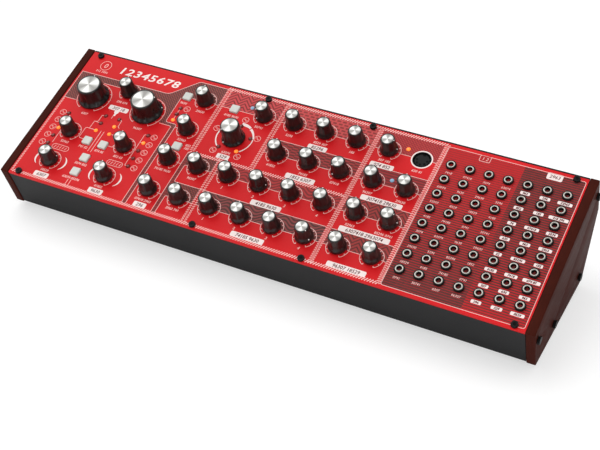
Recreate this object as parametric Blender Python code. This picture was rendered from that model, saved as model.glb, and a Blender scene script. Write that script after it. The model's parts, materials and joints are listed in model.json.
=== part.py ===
"""Analog desktop synthesizer: a folded steel case between two wooden cheeks, with a sloping control
panel that carries 36 knobs, 7 push buttons, 27 indicator lights, a five-pin socket and 56 patch sockets.

Run it with Blender 4.5. Lengths are in metres, +Z is up, the front faces -Y, and the origin is on the
floor under the middle of the instrument.
"""

import math

import bmesh
import bpy
from mathutils import Matrix, Vector

MM = 0.001

# Clearances
GAP = 0.3 * MM
SHAFT_CLEARANCE = 0.3 * MM
BOARD_CLEARANCE = 0.6 * MM

# Control panel, measured along it from its front left corner
PANEL_TILT = math.radians(20)
PANEL_THICKNESS = 2.0 * MM
ROW_COUNT = 4
ROW_PITCH = 29.7 * MM
FRONT_MARGIN = 20.1 * MM
REAR_MARGIN = 19.3 * MM
OSC1_COLUMN = 25.7 * MM
OSC_SPACING = 49.1 * MM
GRID_SPACING = 38.8 * MM
COLUMN_COUNT = 8
COLUMN_PITCH = 25.4 * MM
PATCH_SPACING = 21.6 * MM
PATCH_COLUMNS = 7
PATCH_ROWS = 8
PATCH_PITCH = 14.0 * MM
PATCH_SIDE_MARGIN = 9.4 * MM
PATCH_FRONT_MARGIN = 17.2 * MM
PATCH_REAR_MARGIN = 18.5 * MM

ROWS = [FRONT_MARGIN + row * ROW_PITCH for row in range(ROW_COUNT)]
PANEL_DEPTH = ROWS[-1] + REAR_MARGIN
OSC2_COLUMN = OSC1_COLUMN + OSC_SPACING
COLUMNS = [OSC2_COLUMN + GRID_SPACING + column * COLUMN_PITCH for column in range(COLUMN_COUNT)]
PATCH_LEFT = COLUMNS[-1] + PATCH_SPACING
PATCH_RIGHT = PATCH_LEFT + (PATCH_COLUMNS - 1) * PATCH_PITCH
PANEL_WIDTH = PATCH_RIGHT + PATCH_SIDE_MARGIN
PATCH_ROW_PITCH = (PANEL_DEPTH - PATCH_FRONT_MARGIN - PATCH_REAR_MARGIN) / (PATCH_ROWS - 1)

# Case: a folded sheet, with the lower part of its back leaning outwards and its upper edge standing
# behind the panel's
CASE_WALL = 1.5 * MM
BACK_EDGE = 1.0 * MM
CASE_DEPTH = PANEL_DEPTH + GAP + BACK_EDGE
FRONT_HEIGHT = 36.3 * MM
REAR_HEIGHT = 31.5 * MM
BOTTOM_DEPTH = 101.0 * MM
CHEEK_THICKNESS = 6.6 * MM
CHEEK_OVERHANG = 0.8 * MM
CHEEK_EDGE = 0.5 * MM
END_PLATE_THICKNESS = 1.5 * MM
RAIL_WIDTH = 7.5 * MM
RAIL_HEIGHT = 11.7 * MM

# Cheek bolts: two in the rails' ends, two near the bottom of each end plate
BOLT_RADIUS = 1.5 * MM
BOLT_HEAD_RADIUS = 2.9 * MM
BOLT_HEAD_HEIGHT = 1.8 * MM
BOLT_DROP = 11.0 * MM
BOLT_EDGE = 3.9 * MM
BOLT_RISE = 10.0 * MM
FRONT_BOLT_INSET = 32.8 * MM
BACK_BOLT_INSET = 11.5 * MM

# Panel screws
SCREW_RADIUS = 1.25 * MM
SCREW_HEAD_RADIUS = 2.5 * MM
SCREW_HEAD_HEIGHT = 1.5 * MM
SCREW_EDGE = 3.0 * MM
SCREW_SIDE_MARGIN = 8.0 * MM
SCREW_THREAD = 8.0 * MM
LEFT_SCREW_SHIFT = -4.4 * MM
RIGHT_SCREW_SHIFT = 5.7 * MM

# Rubber feet
FOOT_RADIUS = 6.5 * MM
FOOT_TAPER = 0.6 * MM
FOOT_HEIGHT = 5.0 * MM
FOOT_STEM_RADIUS = 2.0 * MM
FOOT_STEM_HEIGHT = 3.5 * MM
FOOT_SIDE_INSET = 11.0 * MM
FOOT_END_INSET = 14.0 * MM

# Knobs: a skirt with a straight edge, and a body that narrows to its top
KNOB_LIFT = 0.6 * MM
KNOB_EDGE = 0.6 * MM
SMALL_KNOB = {
    "height": 13.0 * MM,
    "skirt": 6.8 * MM,
    "edge": 1.9 * MM,
    "base": 5.9 * MM,
    "top": 5.3 * MM,
    "flare": 4.2 * MM,
}
LARGE_KNOB = {
    "height": 15.2 * MM,
    "skirt": 12.6 * MM,
    "edge": 1.0 * MM,
    "base": 10.7 * MM,
    "top": 9.7 * MM,
    "flare": 4.6 * MM,
}
SHAPE_KNOB = {
    "height": 15.9 * MM,
    "skirt": 9.0 * MM,
    "edge": 1.0 * MM,
    "base": 7.9 * MM,
    "top": 7.2 * MM,
    "flare": 3.6 * MM,
}
SCALLOPS = 8
SCALLOP_DEPTH = 0.9 * MM

# Potentiometers under the knobs
SHAFT_RADIUS = 3.0 * MM
BUSHING_WALL = 0.9 * MM
POT_WIDTH = 9.8 * MM
POT_DEPTH = 10.4 * MM
POT_HEIGHT = 6.5 * MM
BORE_DEPTH = 5.0 * MM

# Push buttons and the switches under them
BUTTON_WIDTH = 6.8 * MM
BUTTON_HEIGHT = 1.4 * MM
BUTTON_EDGE = 0.4 * MM
BUTTON_FLANGE = 0.9 * MM
BUTTON_FLANGE_THICKNESS = 1.0 * MM
BUTTON_STEM_WIDTH = 3.0 * MM
BUTTON_TRAVEL = 0.8 * MM
BUTTON_CLEARANCE = 0.4 * MM
SWITCH_WIDTH = 6.2 * MM
SWITCH_HEIGHT = 3.5 * MM

# Indicator lights
LIGHT_RADIUS = 1.4 * MM
LIGHT_PROUD = 0.2 * MM

# Patch sockets
JACK_BORE_RADIUS = 1.9 * MM
JACK_BARREL_RADIUS = 2.7 * MM
JACK_NUT_RADIUS = 3.8 * MM
JACK_HEIGHT = 2.0 * MM
JACK_BODY_WIDTH = 9.0 * MM
JACK_BODY_DEPTH = 10.5 * MM
JACK_BORE_DEPTH = 9.0 * MM

# Circuit boards
BOARD_DROP = 12.0 * MM
BOARD_THICKNESS = 1.6 * MM
BOARD_BITE = 0.4 * MM

# Round five-pin sockets
DIN_RADIUS = 6.9 * MM
DIN_RIM = 0.6 * MM
DIN_SLOT = 0.8 * MM
DIN_SLOT_DEPTH = 6.0 * MM
DIN_CORE_DROP = 0.8 * MM
DIN_BODY_WIDTH = 17.0 * MM
DIN_BODY_HEIGHT = 15.5 * MM
DIN_DROP = 0.6 * MM
PIN_HOLE_RADIUS = 0.8 * MM
PIN_HOLE_DEPTH = 4.0 * MM
PIN_CIRCLE = 3.9 * MM
PIN_COUNT = 5
PIN_ANGLE = math.radians(45)

# Rear connectors, placed from the right-hand edge of the panel with the same space between them
REAR_SPACING = 11.5 * MM
REAR_BODY_DEPTH = 14.0 * MM
REAR_BODY_HEIGHT = 14.6 * MM
REAR_BOARD_MARGIN = 9.0 * MM
REAR_BOARD_EDGE = 3.0 * MM
PHONE_COUNT = 3
PHONE_BORE_RADIUS = 3.3 * MM
PHONE_BARREL_RADIUS = 4.7 * MM
PHONE_NUT_RADIUS = 6.0 * MM
PHONE_NUT_HEIGHT = 1.5 * MM
PHONE_BODY_DEPTH = 29.0 * MM
PHONE_BODY_WIDTH = 13.0 * MM
PHONE_BORE_DEPTH = 27.0 * MM
POWER_RADIUS = 4.2 * MM
POWER_BORE_RADIUS = 2.9 * MM
POWER_PIN_RADIUS = 1.0 * MM
POWER_BORE_DEPTH = 9.0 * MM
POWER_PIN_DROP = 1.0 * MM
USB_WIDTH = 12.0 * MM
USB_HEIGHT = 10.8 * MM
USB_WALL = 1.5 * MM
USB_DEPTH = 9.0 * MM
USB_TONGUE_WIDTH = 5.6 * MM
USB_TONGUE_HEIGHT = 3.2 * MM
USB_TONGUE_DROP = 0.8 * MM

# Power rocker
ROCKER_INSET = 32.0 * MM
ROCKER_WIDTH = 8.0 * MM
ROCKER_HALF_HEIGHT = 5.8 * MM
ROCKER_PROUD = 2.0 * MM
ROCKER_WAIST = 0.8 * MM
ROCKER_BACK = 3.4 * MM
ROCKER_BACK_HALF_HEIGHT = 4.0 * MM
ROCKER_TILT = math.radians(9)
ROCKER_CLEARANCE = 0.4 * MM
ROCKER_FRAME_WALL = 1.2 * MM
ROCKER_FRAME_DEPTH = 9.0 * MM

# Sides of the square and round pieces
SQUARE_SIDES = 4
SHAFT_SIDES = 6
KNOB_SIDES = 12
SMALL_SIDES = 6
NUT_SIDES = 8
ROUND_SIDES = 12

# Places of the knobs, as distances from the panel's left and front edges
LFO_RISE = 3.6 * MM
LFO_CENTRE = ((COLUMNS[1] + COLUMNS[2]) / 2, ROWS[2] + LFO_RISE)
TUNE_RISE = 6.1 * MM
MIX_SHIFT = 25.2 * MM
MIX_DROP = 10.5 * MM
SMALL_KNOBS = {
    "osc_mix_knob": (OSC1_COLUMN + MIX_SHIFT, ROWS[3] - MIX_DROP),
    "osc1_shape_knob": (OSC1_COLUMN, ROWS[1]),
    "osc1_width_knob": (OSC1_COLUMN, ROWS[0]),
    "osc2_shape_knob": (OSC2_COLUMN, ROWS[1]),
    "osc2_width_knob": (OSC2_COLUMN, ROWS[0]),
    "filter_frequency_knob": (COLUMNS[0], ROWS[3]),
    "filter_resonance_knob": (COLUMNS[0], ROWS[2]),
    "filter_modulation_knob": (COLUMNS[0], ROWS[1]),
    "filter_envelope_knob": (COLUMNS[0], ROWS[0]),
    "noise_level_knob": (COLUMNS[1], ROWS[1]),
    "amplifier_bias_knob": (COLUMNS[1], ROWS[0]),
    "lfo_rate_knob": (COLUMNS[2], ROWS[3]),
    "delay_time_knob": (COLUMNS[3], ROWS[3]),
    "delay_repeats_knob": (COLUMNS[4], ROWS[3]),
    "delay_mix_knob": (COLUMNS[5], ROWS[3]),
    "drive_knob": (COLUMNS[3], ROWS[2]),
    "tone_knob": (COLUMNS[4], ROWS[2]),
    "drive_level_knob": (COLUMNS[5], ROWS[2]),
    "attack_1_knob": (COLUMNS[2], ROWS[1]),
    "decay_1_knob": (COLUMNS[3], ROWS[1]),
    "sustain_1_knob": (COLUMNS[4], ROWS[1]),
    "release_1_knob": (COLUMNS[5], ROWS[1]),
    "attack_2_knob": (COLUMNS[2], ROWS[0]),
    "decay_2_knob": (COLUMNS[3], ROWS[0]),
    "sustain_2_knob": (COLUMNS[4], ROWS[0]),
    "release_2_knob": (COLUMNS[5], ROWS[0]),
    "volume_knob": (COLUMNS[6], ROWS[3]),
    "sample_rate_knob": (COLUMNS[6], ROWS[2]),
    "sample_glide_knob": (COLUMNS[7], ROWS[2]),
    "slew_rate_knob": (COLUMNS[6], ROWS[1]),
    "portamento_knob": (COLUMNS[7], ROWS[1]),
    "attenuator_1_knob": (COLUMNS[6], ROWS[0]),
    "attenuator_2_knob": (COLUMNS[7], ROWS[0]),
}
LARGE_KNOBS = {
    "osc1_tune_knob": (OSC1_COLUMN, ROWS[2] + TUNE_RISE),
    "osc2_tune_knob": (OSC2_COLUMN, ROWS[2] + TUNE_RISE),
}
SHAPE_KNOBS = {"lfo_shape_knob": LFO_CENTRE}
ALL_KNOBS = {**SMALL_KNOBS, **LARGE_KNOBS, **SHAPE_KNOBS}

# Places of the push buttons
OSC_BUTTON_SHIFT = 25.3 * MM
OSC_BUTTON_COLUMN = OSC1_COLUMN + OSC_BUTTON_SHIFT
RANGE_BUTTON_SPREAD = 7.2 * MM
RANGE_BUTTON_DROP = 4.1 * MM
SYNC_BUTTON_DROP = 15.2 * MM
VOICE_BUTTON_DROP = 29.0 * MM
RANGE_BUTTON_ROW = ROWS[1] - RANGE_BUTTON_DROP
TOP_BUTTON_DROP = 0.2 * MM
TOP_BUTTON_ROW = ROWS[3] - TOP_BUTTON_DROP
MODE_BUTTON_SHIFT = 15.6 * MM
KEY_TRACK_SHIFT = 0.2 * MM
KEY_TRACK_RISE = 13.0 * MM
KEY_SYNC_SHIFT = 0.2 * MM
BUTTONS = {
    "osc1_range_button": (OSC_BUTTON_COLUMN - RANGE_BUTTON_SPREAD, RANGE_BUTTON_ROW),
    "osc2_range_button": (OSC_BUTTON_COLUMN + RANGE_BUTTON_SPREAD, RANGE_BUTTON_ROW),
    "osc_sync_button": (OSC_BUTTON_COLUMN, RANGE_BUTTON_ROW - SYNC_BUTTON_DROP),
    "two_voice_button": (OSC_BUTTON_COLUMN, RANGE_BUTTON_ROW - VOICE_BUTTON_DROP),
    "filter_mode_button": (COLUMNS[0] - MODE_BUTTON_SHIFT, TOP_BUTTON_ROW),
    "key_track_button": (COLUMNS[0] + KEY_TRACK_SHIFT, ROWS[1] + KEY_TRACK_RISE),
    "key_sync_button": (COLUMNS[1] + KEY_SYNC_SHIFT, TOP_BUTTON_ROW),
}

# Places of the indicator lights
WAVE_LIGHT_SHIFT = 11.2 * MM
WAVE_LIGHT_FAR_SHIFT = 12.5 * MM
WAVE_LIGHT_PITCH = 7.7 * MM
WAVE_LIGHTS = 5
OCTAVE_LIGHT_SPREAD = 6.1 * MM
OCTAVE_LIGHT_CENTRE = 25.3 * MM
OCTAVE_LIGHT_RISE = 6.9 * MM
OCTAVE_LIGHT_PITCH = 7.6 * MM
MODE_LIGHT_SHIFT = 15.6 * MM
MODE_LIGHT_RISE = 5.3 * MM
MODE_LIGHT_PITCH = 6.1 * MM
COLUMN_LIGHTS = 3
LFO_LIGHTS = 5
LFO_LIGHT_CIRCLE = 12.8 * MM
RATE_LIGHT_RISE = 5.1 * MM

# Round five-pin socket on the panel
DIN_CENTRE = (COLUMNS[7], ROWS[3] - DIN_DROP)

# Derived levels, measured square to the panel from its top face
PANEL_UNDERSIDE = -PANEL_THICKNESS
SEAT = PANEL_UNDERSIDE - GAP
BOARD_TOP = -BOARD_DROP
POT_TOP = BOARD_TOP + POT_HEIGHT
BUSHING_RADIUS = SHAFT_RADIUS + SHAFT_CLEARANCE + BUSHING_WALL
SWITCH_TOP = BOARD_TOP + SWITCH_HEIGHT
RAIL_BOTTOM = SEAT - RAIL_HEIGHT
REAR_AXIS = -(REAR_HEIGHT - RAIL_BOTTOM) / 2
REAR_BOARD_TOP = REAR_AXIS - REAR_BODY_HEIGHT / 2 - GAP
RAIL_FRONT = CASE_WALL + GAP

# Derived widths and places of the rear connectors' bodies
ROCKER_BODY_WIDTH = ROCKER_WIDTH + 2 * (ROCKER_CLEARANCE + ROCKER_FRAME_WALL)
POWER_BODY_WIDTH = 2 * (POWER_RADIUS + USB_WALL)
USB_BODY_WIDTH = USB_WIDTH + 2 * USB_WALL
POWER_INSET = ROCKER_INSET + (ROCKER_BODY_WIDTH + POWER_BODY_WIDTH) / 2 + REAR_SPACING
USB_INSET = POWER_INSET + (POWER_BODY_WIDTH + USB_BODY_WIDTH) / 2 + REAR_SPACING
THRU_INSET = USB_INSET + (USB_BODY_WIDTH + DIN_BODY_WIDTH) / 2 + REAR_SPACING
PHONE_INSET = THRU_INSET + (DIN_BODY_WIDTH + PHONE_BODY_WIDTH) / 2 + REAR_SPACING
PHONE_PITCH = PHONE_BODY_WIDTH + REAR_SPACING

# Directions along and square to the case's level bottom, as (depth, height) beside the panel
ALONG_BOTTOM = Vector((math.cos(PANEL_TILT), -math.sin(PANEL_TILT)))
UP = Vector((math.sin(PANEL_TILT), math.cos(PANEL_TILT)))
REAR_FACING = Matrix.Rotation(-math.pi / 2, 4, "X")


def hole_radius(radius, sides, clearance):
    """Corner radius of a faceted hole whose flats clear a round piece of this radius."""
    return (radius + clearance) / math.cos(math.pi / sides)


def case_outline(depth=CASE_DEPTH):
    """The case's outer side view as (depth, height) points: down the front, under it and up the back."""
    front_bottom = Vector((0, -FRONT_HEIGHT))
    return [
        Vector((0, 0)),
        front_bottom,
        front_bottom + BOTTOM_DEPTH * ALONG_BOTTOM,
        Vector((depth, -REAR_HEIGHT)),
        Vector((depth, 0)),
    ]


def grown(outline, distance):
    """The outline with each edge moved outwards by a distance, or inwards if it is negative."""
    count = len(outline)
    points = []
    for index in range(count):
        before = (outline[index] - outline[index - 1]).normalized()
        after = (outline[(index + 1) % count] - outline[index]).normalized()
        out_before = Vector((before.y, -before.x))
        out_after = Vector((after.y, -after.x))
        bisector = (out_before + out_after).normalized()
        points.append(outline[index] + bisector * (distance / bisector.dot(out_before)))
    return points


def lowered(outline, height):
    """The outline with its two top points brought down to a height."""
    return [Vector((outline[0].x, height)), *outline[1:-1], Vector((outline[-1].x, height))]


def cheek_outline():
    """A cheek's side view: it stands out round the case, and ends level with the case's back."""
    return grown(case_outline(CASE_DEPTH - CHEEK_OVERHANG), CHEEK_OVERHANG)


def clear_scene():
    for obj in list(bpy.data.objects):
        bpy.data.objects.remove(obj, do_unlink=True)


def material(name, colour, roughness, metallic=0.0):
    finish = bpy.data.materials.new(name)
    finish.use_nodes = True
    finish.diffuse_color = (*colour, 1.0)
    shader = finish.node_tree.nodes["Principled BSDF"]
    shader.inputs["Base Color"].default_value = (*colour, 1.0)
    shader.inputs["Roughness"].default_value = roughness
    shader.inputs["Metallic"].default_value = metallic
    return finish


def make_materials():
    return {
        "panel": material("red_panel_paint", (0.62, 0.012, 0.02), 0.35),
        "case": material("charcoal_case_paint", (0.027, 0.028, 0.028), 0.55, 0.2),
        "cheek": material("dark_brown_cheek", (0.045, 0.018, 0.014), 0.45),
        "steel": material("black_steel", (0.02, 0.02, 0.02), 0.35, 0.8),
        "rail": material("plain_aluminium", (0.6, 0.6, 0.62), 0.4, 1.0),
        "rubber": material("black_rubber", (0.02, 0.02, 0.02), 0.8),
        "knob": material("black_knob_plastic", (0.015, 0.015, 0.015), 0.4),
        "button": material("warm_grey_button_plastic", (0.45, 0.42, 0.39), 0.5),
        "board": material("green_circuit_board", (0.01, 0.09, 0.04), 0.5),
        "socket": material("black_socket_plastic", (0.02, 0.02, 0.02), 0.45),
    }


def ring(shape, place, radius, height, sides, notches=0):
    """A loop of points about the local Z axis. With notches, two points in three are set in."""
    points = []
    for index in range(sides):
        angle = (index + 0.5) * 2 * math.pi / sides
        set_in = SCALLOP_DEPTH if notches and index % (sides // notches) else 0
        reach = radius - set_in
        point = Vector((reach * math.cos(angle), reach * math.sin(angle), height))
        points.append(shape.verts.new(place @ point))
    return points


def bridge(shape, lower, upper):
    """Faces between two loops about one axis, which may differ in their number of points."""
    if len(lower) == len(upper):
        for index in range(len(lower)):
            following = (index + 1) % len(lower)
            shape.faces.new((lower[index], lower[following], upper[following], upper[index]))
        return
    low = high = 0
    while low < len(lower) or high < len(upper):
        low_angle = (low + 1.5) / len(lower)
        high_angle = (high + 1.5) / len(upper)
        lower_point = lower[low % len(lower)]
        upper_point = upper[high % len(upper)]
        if high == len(upper) or (low < len(lower) and low_angle <= high_angle):
            low += 1
            shape.faces.new((lower_point, lower[low % len(lower)], upper_point))
        else:
            high += 1
            shape.faces.new((lower_point, upper[high % len(upper)], upper_point))


def add_turned(shape, profile, place=None):
    """A closed solid about the local Z axis, from a profile that runs up the outside and down any bore.
    Each entry is (radius, height, sides), and a fourth value gives the number of notches in that loop."""
    place = place or Matrix.Identity(4)
    loops = [ring(shape, place, *entry) for entry in profile]
    shape.faces.new(list(reversed(loops[0])))
    for lower, upper in zip(loops, loops[1:]):
        bridge(shape, lower, upper)
    shape.faces.new(loops[-1])


def add_cylinder(shape, radius, low, high, sides, place=None):
    add_turned(shape, [(radius, low, sides), (radius, high, sides)], place)


def add_box(shape, low, high):
    centre = (Vector(low) + Vector(high)) / 2
    size = Vector(high) - Vector(low)
    bmesh.ops.create_cube(shape, size=1, matrix=Matrix.LocRotScale(centre, None, size))


def add_block(shape, centre, width, depth, low, high):
    """A box on the panel's axes, centred on a place (along, up the slope), between two heights."""
    add_box(
        shape,
        (centre[0] - width / 2, centre[1] - depth / 2, low),
        (centre[0] + width / 2, centre[1] + depth / 2, high),
    )


def add_side_prism(shape, outline, left, right):
    """A prism across the instrument whose side view is an outline of (depth, height) points."""
    left_loop = [shape.verts.new((left, point.x, point.y)) for point in outline]
    right_loop = [shape.verts.new((right, point.x, point.y)) for point in outline]
    shape.faces.new(left_loop)
    shape.faces.new(list(reversed(right_loop)))
    bridge(shape, right_loop, left_loop)


def at(place, height=0.0):
    """The shift to a place on the panel, given from its front left corner."""
    return Matrix.Translation((place[0] - PANEL_WIDTH / 2, place[1], height))


def on_panel(place):
    """A place given from the panel's left edge, as one given from its middle."""
    return (place[0] - PANEL_WIDTH / 2, place[1])


def make_object(name, shape, parent, finish=None, location=(0, 0, 0), smooth_angle=35):
    """An object from a bmesh. Without a finish it is a helper, which isn't drawn."""
    bmesh.ops.recalc_face_normals(shape, faces=shape.faces)
    mesh = bpy.data.meshes.new(name)
    shape.to_mesh(mesh)
    shape.free()
    obj = bpy.data.objects.new(name, mesh)
    obj.location = location
    obj.parent = parent
    bpy.context.scene.collection.objects.link(obj)
    if finish is None:
        obj.hide_render = True
        obj.display_type = "WIRE"
    else:
        mesh.materials.append(finish)
        mesh.shade_smooth()
        mesh.set_sharp_from_angle(angle=math.radians(smooth_angle))
    return obj


def boolean(target, helper, operation):
    modifier = target.modifiers.new(helper.name, "BOOLEAN")
    modifier.operation = operation
    modifier.solver = "EXACT"
    modifier.object = helper


def panel_screw_places():
    """The panel screws' distances from the left edge of the panel."""
    return [
        SCREW_SIDE_MARGIN,
        COLUMNS[2] + LEFT_SCREW_SHIFT,
        COLUMNS[5] + RIGHT_SCREW_SHIFT,
        PANEL_WIDTH - SCREW_SIDE_MARGIN,
    ]


def patch_places():
    """Places of the patch sockets, column by column from the left."""
    return [
        (PATCH_LEFT + column * PATCH_PITCH, PATCH_FRONT_MARGIN + row * PATCH_ROW_PITCH)
        for column in range(PATCH_COLUMNS)
        for row in range(PATCH_ROWS)
    ]


def light_places():
    """Places of the indicator lights."""
    places = []
    for index in range(WAVE_LIGHTS):
        rise = (index - (WAVE_LIGHTS - 1) / 2) * WAVE_LIGHT_PITCH
        places.append((OSC1_COLUMN - WAVE_LIGHT_SHIFT, ROWS[1] + rise))
        places.append((OSC2_COLUMN + WAVE_LIGHT_FAR_SHIFT, ROWS[1] + rise))
    octave_middle = OSC1_COLUMN + OCTAVE_LIGHT_CENTRE
    for index in range(COLUMN_LIGHTS):
        octave_row = ROWS[1] + OCTAVE_LIGHT_RISE + index * OCTAVE_LIGHT_PITCH
        places.append((octave_middle - OCTAVE_LIGHT_SPREAD, octave_row))
        places.append((octave_middle + OCTAVE_LIGHT_SPREAD, octave_row))
        mode_row = ROWS[2] + MODE_LIGHT_RISE + index * MODE_LIGHT_PITCH
        places.append((COLUMNS[0] - MODE_LIGHT_SHIFT, mode_row))
    for index in range(LFO_LIGHTS):
        angle = math.pi / 2 + index * 2 * math.pi / LFO_LIGHTS
        reach = LFO_LIGHT_CIRCLE
        places.append((LFO_CENTRE[0] + reach * math.cos(angle), LFO_CENTRE[1] + reach * math.sin(angle)))
    places.append((LFO_CENTRE[0], ROWS[3] + RATE_LIGHT_RISE))
    for row in (ROWS[2], ROWS[3]):
        places.append(((COLUMNS[6] + COLUMNS[7]) / 2, row + RATE_LIGHT_RISE))
    return places


def make_panel_frame():
    """The empty whose local X, Y and Z run along the panel, up its slope and square out of it."""
    frame = bpy.data.objects.new("panel_frame", None)
    frame.rotation_euler = (PANEL_TILT, 0, 0)
    frame.location = (0, frame_depth(), frame_height())
    bpy.context.scene.collection.objects.link(frame)
    return frame


def frame_height():
    """Height of the panel's front edge that puts the case's bottom just above the feet."""
    return FOOT_HEIGHT + GAP + FRONT_HEIGHT * math.cos(PANEL_TILT)


def frame_depth():
    """Depth of the panel's front edge that centres the cheeks on the origin."""
    reaches = [point.x * UP.y - point.y * UP.x for point in cheek_outline()]
    return -(min(reaches) + max(reaches)) / 2


def make_control_panel(frame, finish):
    shape = bmesh.new()
    add_box(shape, (-PANEL_WIDTH / 2, 0, -PANEL_THICKNESS), (PANEL_WIDTH / 2, PANEL_DEPTH, 0))
    panel = make_object("control_panel", shape, frame, finish)
    holes = bmesh.new()
    low, high = -2 * PANEL_THICKNESS, PANEL_THICKNESS
    bushing_hole = hole_radius(BUSHING_RADIUS, SMALL_SIDES, GAP)
    barrel_hole = hole_radius(JACK_BARREL_RADIUS, SMALL_SIDES, GAP)
    light_hole = hole_radius(LIGHT_RADIUS, SMALL_SIDES, GAP)
    screw_hole = hole_radius(SCREW_RADIUS, SMALL_SIDES, GAP)
    for place in ALL_KNOBS.values():
        add_cylinder(holes, bushing_hole, low, high, SMALL_SIDES, at(place))
    for place in patch_places():
        add_cylinder(holes, barrel_hole, low, high, SMALL_SIDES, at(place))
    for place in light_places():
        add_cylinder(holes, light_hole, low, high, SMALL_SIDES, at(place))
    for along in panel_screw_places():
        for up in (SCREW_EDGE, PANEL_DEPTH - SCREW_EDGE):
            add_cylinder(holes, screw_hole, low, high, SMALL_SIDES, at((along, up)))
    button_hole = BUTTON_WIDTH + 2 * BUTTON_CLEARANCE
    for place in BUTTONS.values():
        add_block(holes, on_panel(place), button_hole, button_hole, low, high)
    add_cylinder(holes, hole_radius(DIN_RADIUS, ROUND_SIDES, GAP), low, high, ROUND_SIDES, at(DIN_CENTRE))
    boolean(panel, make_object("control_panel_holes", holes, frame), "DIFFERENCE")


def make_base_tray(frame, finish):
    """The folded sheet that makes the front, the bottom and the back, with the rear connectors' holes.
    The panel lies on its front edge and in a rebate along its back edge."""
    outer = [Vector((0, SEAT)), *case_outline()[1:]]
    rebate = [Vector((PANEL_DEPTH + GAP, 0)), Vector((PANEL_DEPTH + GAP, SEAT))]
    inner = lowered(grown(case_outline(), -CASE_WALL), SEAT)
    section = [*outer, *rebate, *reversed(inner)]
    shape = bmesh.new()
    add_side_prism(shape, section, -PANEL_WIDTH / 2, PANEL_WIDTH / 2)
    tray = make_object("base_tray", shape, frame, finish)
    boolean(tray, make_rear_holes(frame), "DIFFERENCE")
    boolean(tray, make_foot_holes(), "DIFFERENCE")


def rear_place(inset):
    """The frame of a rear connector: local Z points out of the back, and the origin is on its outer face."""
    centre = Matrix.Translation((PANEL_WIDTH / 2 - inset, CASE_DEPTH, REAR_AXIS))
    return centre @ REAR_FACING


def phone_insets():
    return [PHONE_INSET + index * PHONE_PITCH for index in range(PHONE_COUNT)]


def add_rear_block(shape, inset, width, height, inner, outer):
    """A box on a rear connector's axis, from one depth below the outer face of the back to another."""
    middle = PANEL_WIDTH / 2 - inset
    add_box(
        shape,
        (middle - width / 2, CASE_DEPTH - inner, REAR_AXIS - height / 2),
        (middle + width / 2, CASE_DEPTH - outer, REAR_AXIS + height / 2),
    )


def make_rear_holes(frame):
    holes = bmesh.new()
    inner, outer = -2 * CASE_WALL, CASE_WALL
    barrel = hole_radius(PHONE_BARREL_RADIUS, ROUND_SIDES, GAP)
    for inset in phone_insets():
        add_cylinder(holes, barrel, inner, outer, ROUND_SIDES, rear_place(inset))
    thru = hole_radius(DIN_RADIUS, ROUND_SIDES, GAP)
    add_cylinder(holes, thru, inner, outer, ROUND_SIDES, rear_place(THRU_INSET))
    power = hole_radius(POWER_RADIUS, ROUND_SIDES, GAP)
    add_cylinder(holes, power, inner, outer, ROUND_SIDES, rear_place(POWER_INSET))
    add_rear_block(holes, USB_INSET, USB_WIDTH + 2 * GAP, USB_HEIGHT + 2 * GAP, -inner, -outer)
    width, height = rocker_frame_size()
    add_rear_block(holes, ROCKER_INSET, width + 2 * GAP, height + 2 * GAP, -inner, -outer)
    return make_object("rear_holes", holes, frame)


def foot_places():
    """World positions of the feet's centres, on the floor."""
    front = frame_depth() + FRONT_HEIGHT * UP.x + FOOT_END_INSET
    back = frame_depth() + FRONT_HEIGHT * UP.x + BOTTOM_DEPTH - FOOT_END_INSET
    side = PANEL_WIDTH / 2 - FOOT_SIDE_INSET
    return {
        "front_left_foot": (-side, front, 0),
        "front_right_foot": (side, front, 0),
        "rear_left_foot": (-side, back, 0),
        "rear_right_foot": (side, back, 0),
    }


def make_foot_holes():
    holes = bmesh.new()
    stem = hole_radius(FOOT_STEM_RADIUS, SMALL_SIDES, GAP)
    for place in foot_places().values():
        spot = Matrix.Translation(place)
        add_cylinder(holes, stem, FOOT_HEIGHT - CASE_WALL, FOOT_HEIGHT + 2 * CASE_WALL, SMALL_SIDES, spot)
    return make_object("foot_holes", holes, None)


def make_feet(finish):
    stem_top = FOOT_HEIGHT + FOOT_STEM_HEIGHT
    for name, place in foot_places().items():
        shape = bmesh.new()
        profile = [
            (FOOT_RADIUS - FOOT_TAPER, 0, ROUND_SIDES),
            (FOOT_RADIUS, FOOT_HEIGHT, ROUND_SIDES),
            (FOOT_STEM_RADIUS, FOOT_HEIGHT, SMALL_SIDES),
            (FOOT_STEM_RADIUS, stem_top, SMALL_SIDES),
        ]
        add_turned(shape, profile)
        make_object(name, shape, None, finish, place)


def bolt_places():
    """Places of one cheek's bolts, as (depth, height) in the panel's plane of depth and height."""
    front_bottom, back_bottom = case_outline()[1:3]
    return [
        Vector((BOLT_EDGE, -BOLT_DROP)),
        Vector((PANEL_DEPTH - BOLT_EDGE, -BOLT_DROP)),
        front_bottom + FRONT_BOLT_INSET * ALONG_BOTTOM + BOLT_RISE * UP,
        back_bottom - BACK_BOLT_INSET * ALONG_BOTTOM + BOLT_RISE * UP,
    ]


def bolt_frame(place, side, reach):
    """Local Z points out of the cheek, and the origin is at a distance from the instrument's middle."""
    outwards = Matrix.Rotation(side * math.pi / 2, 4, "Y")
    return Matrix.Translation((side * reach, place.x, place.y)) @ outwards


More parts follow.
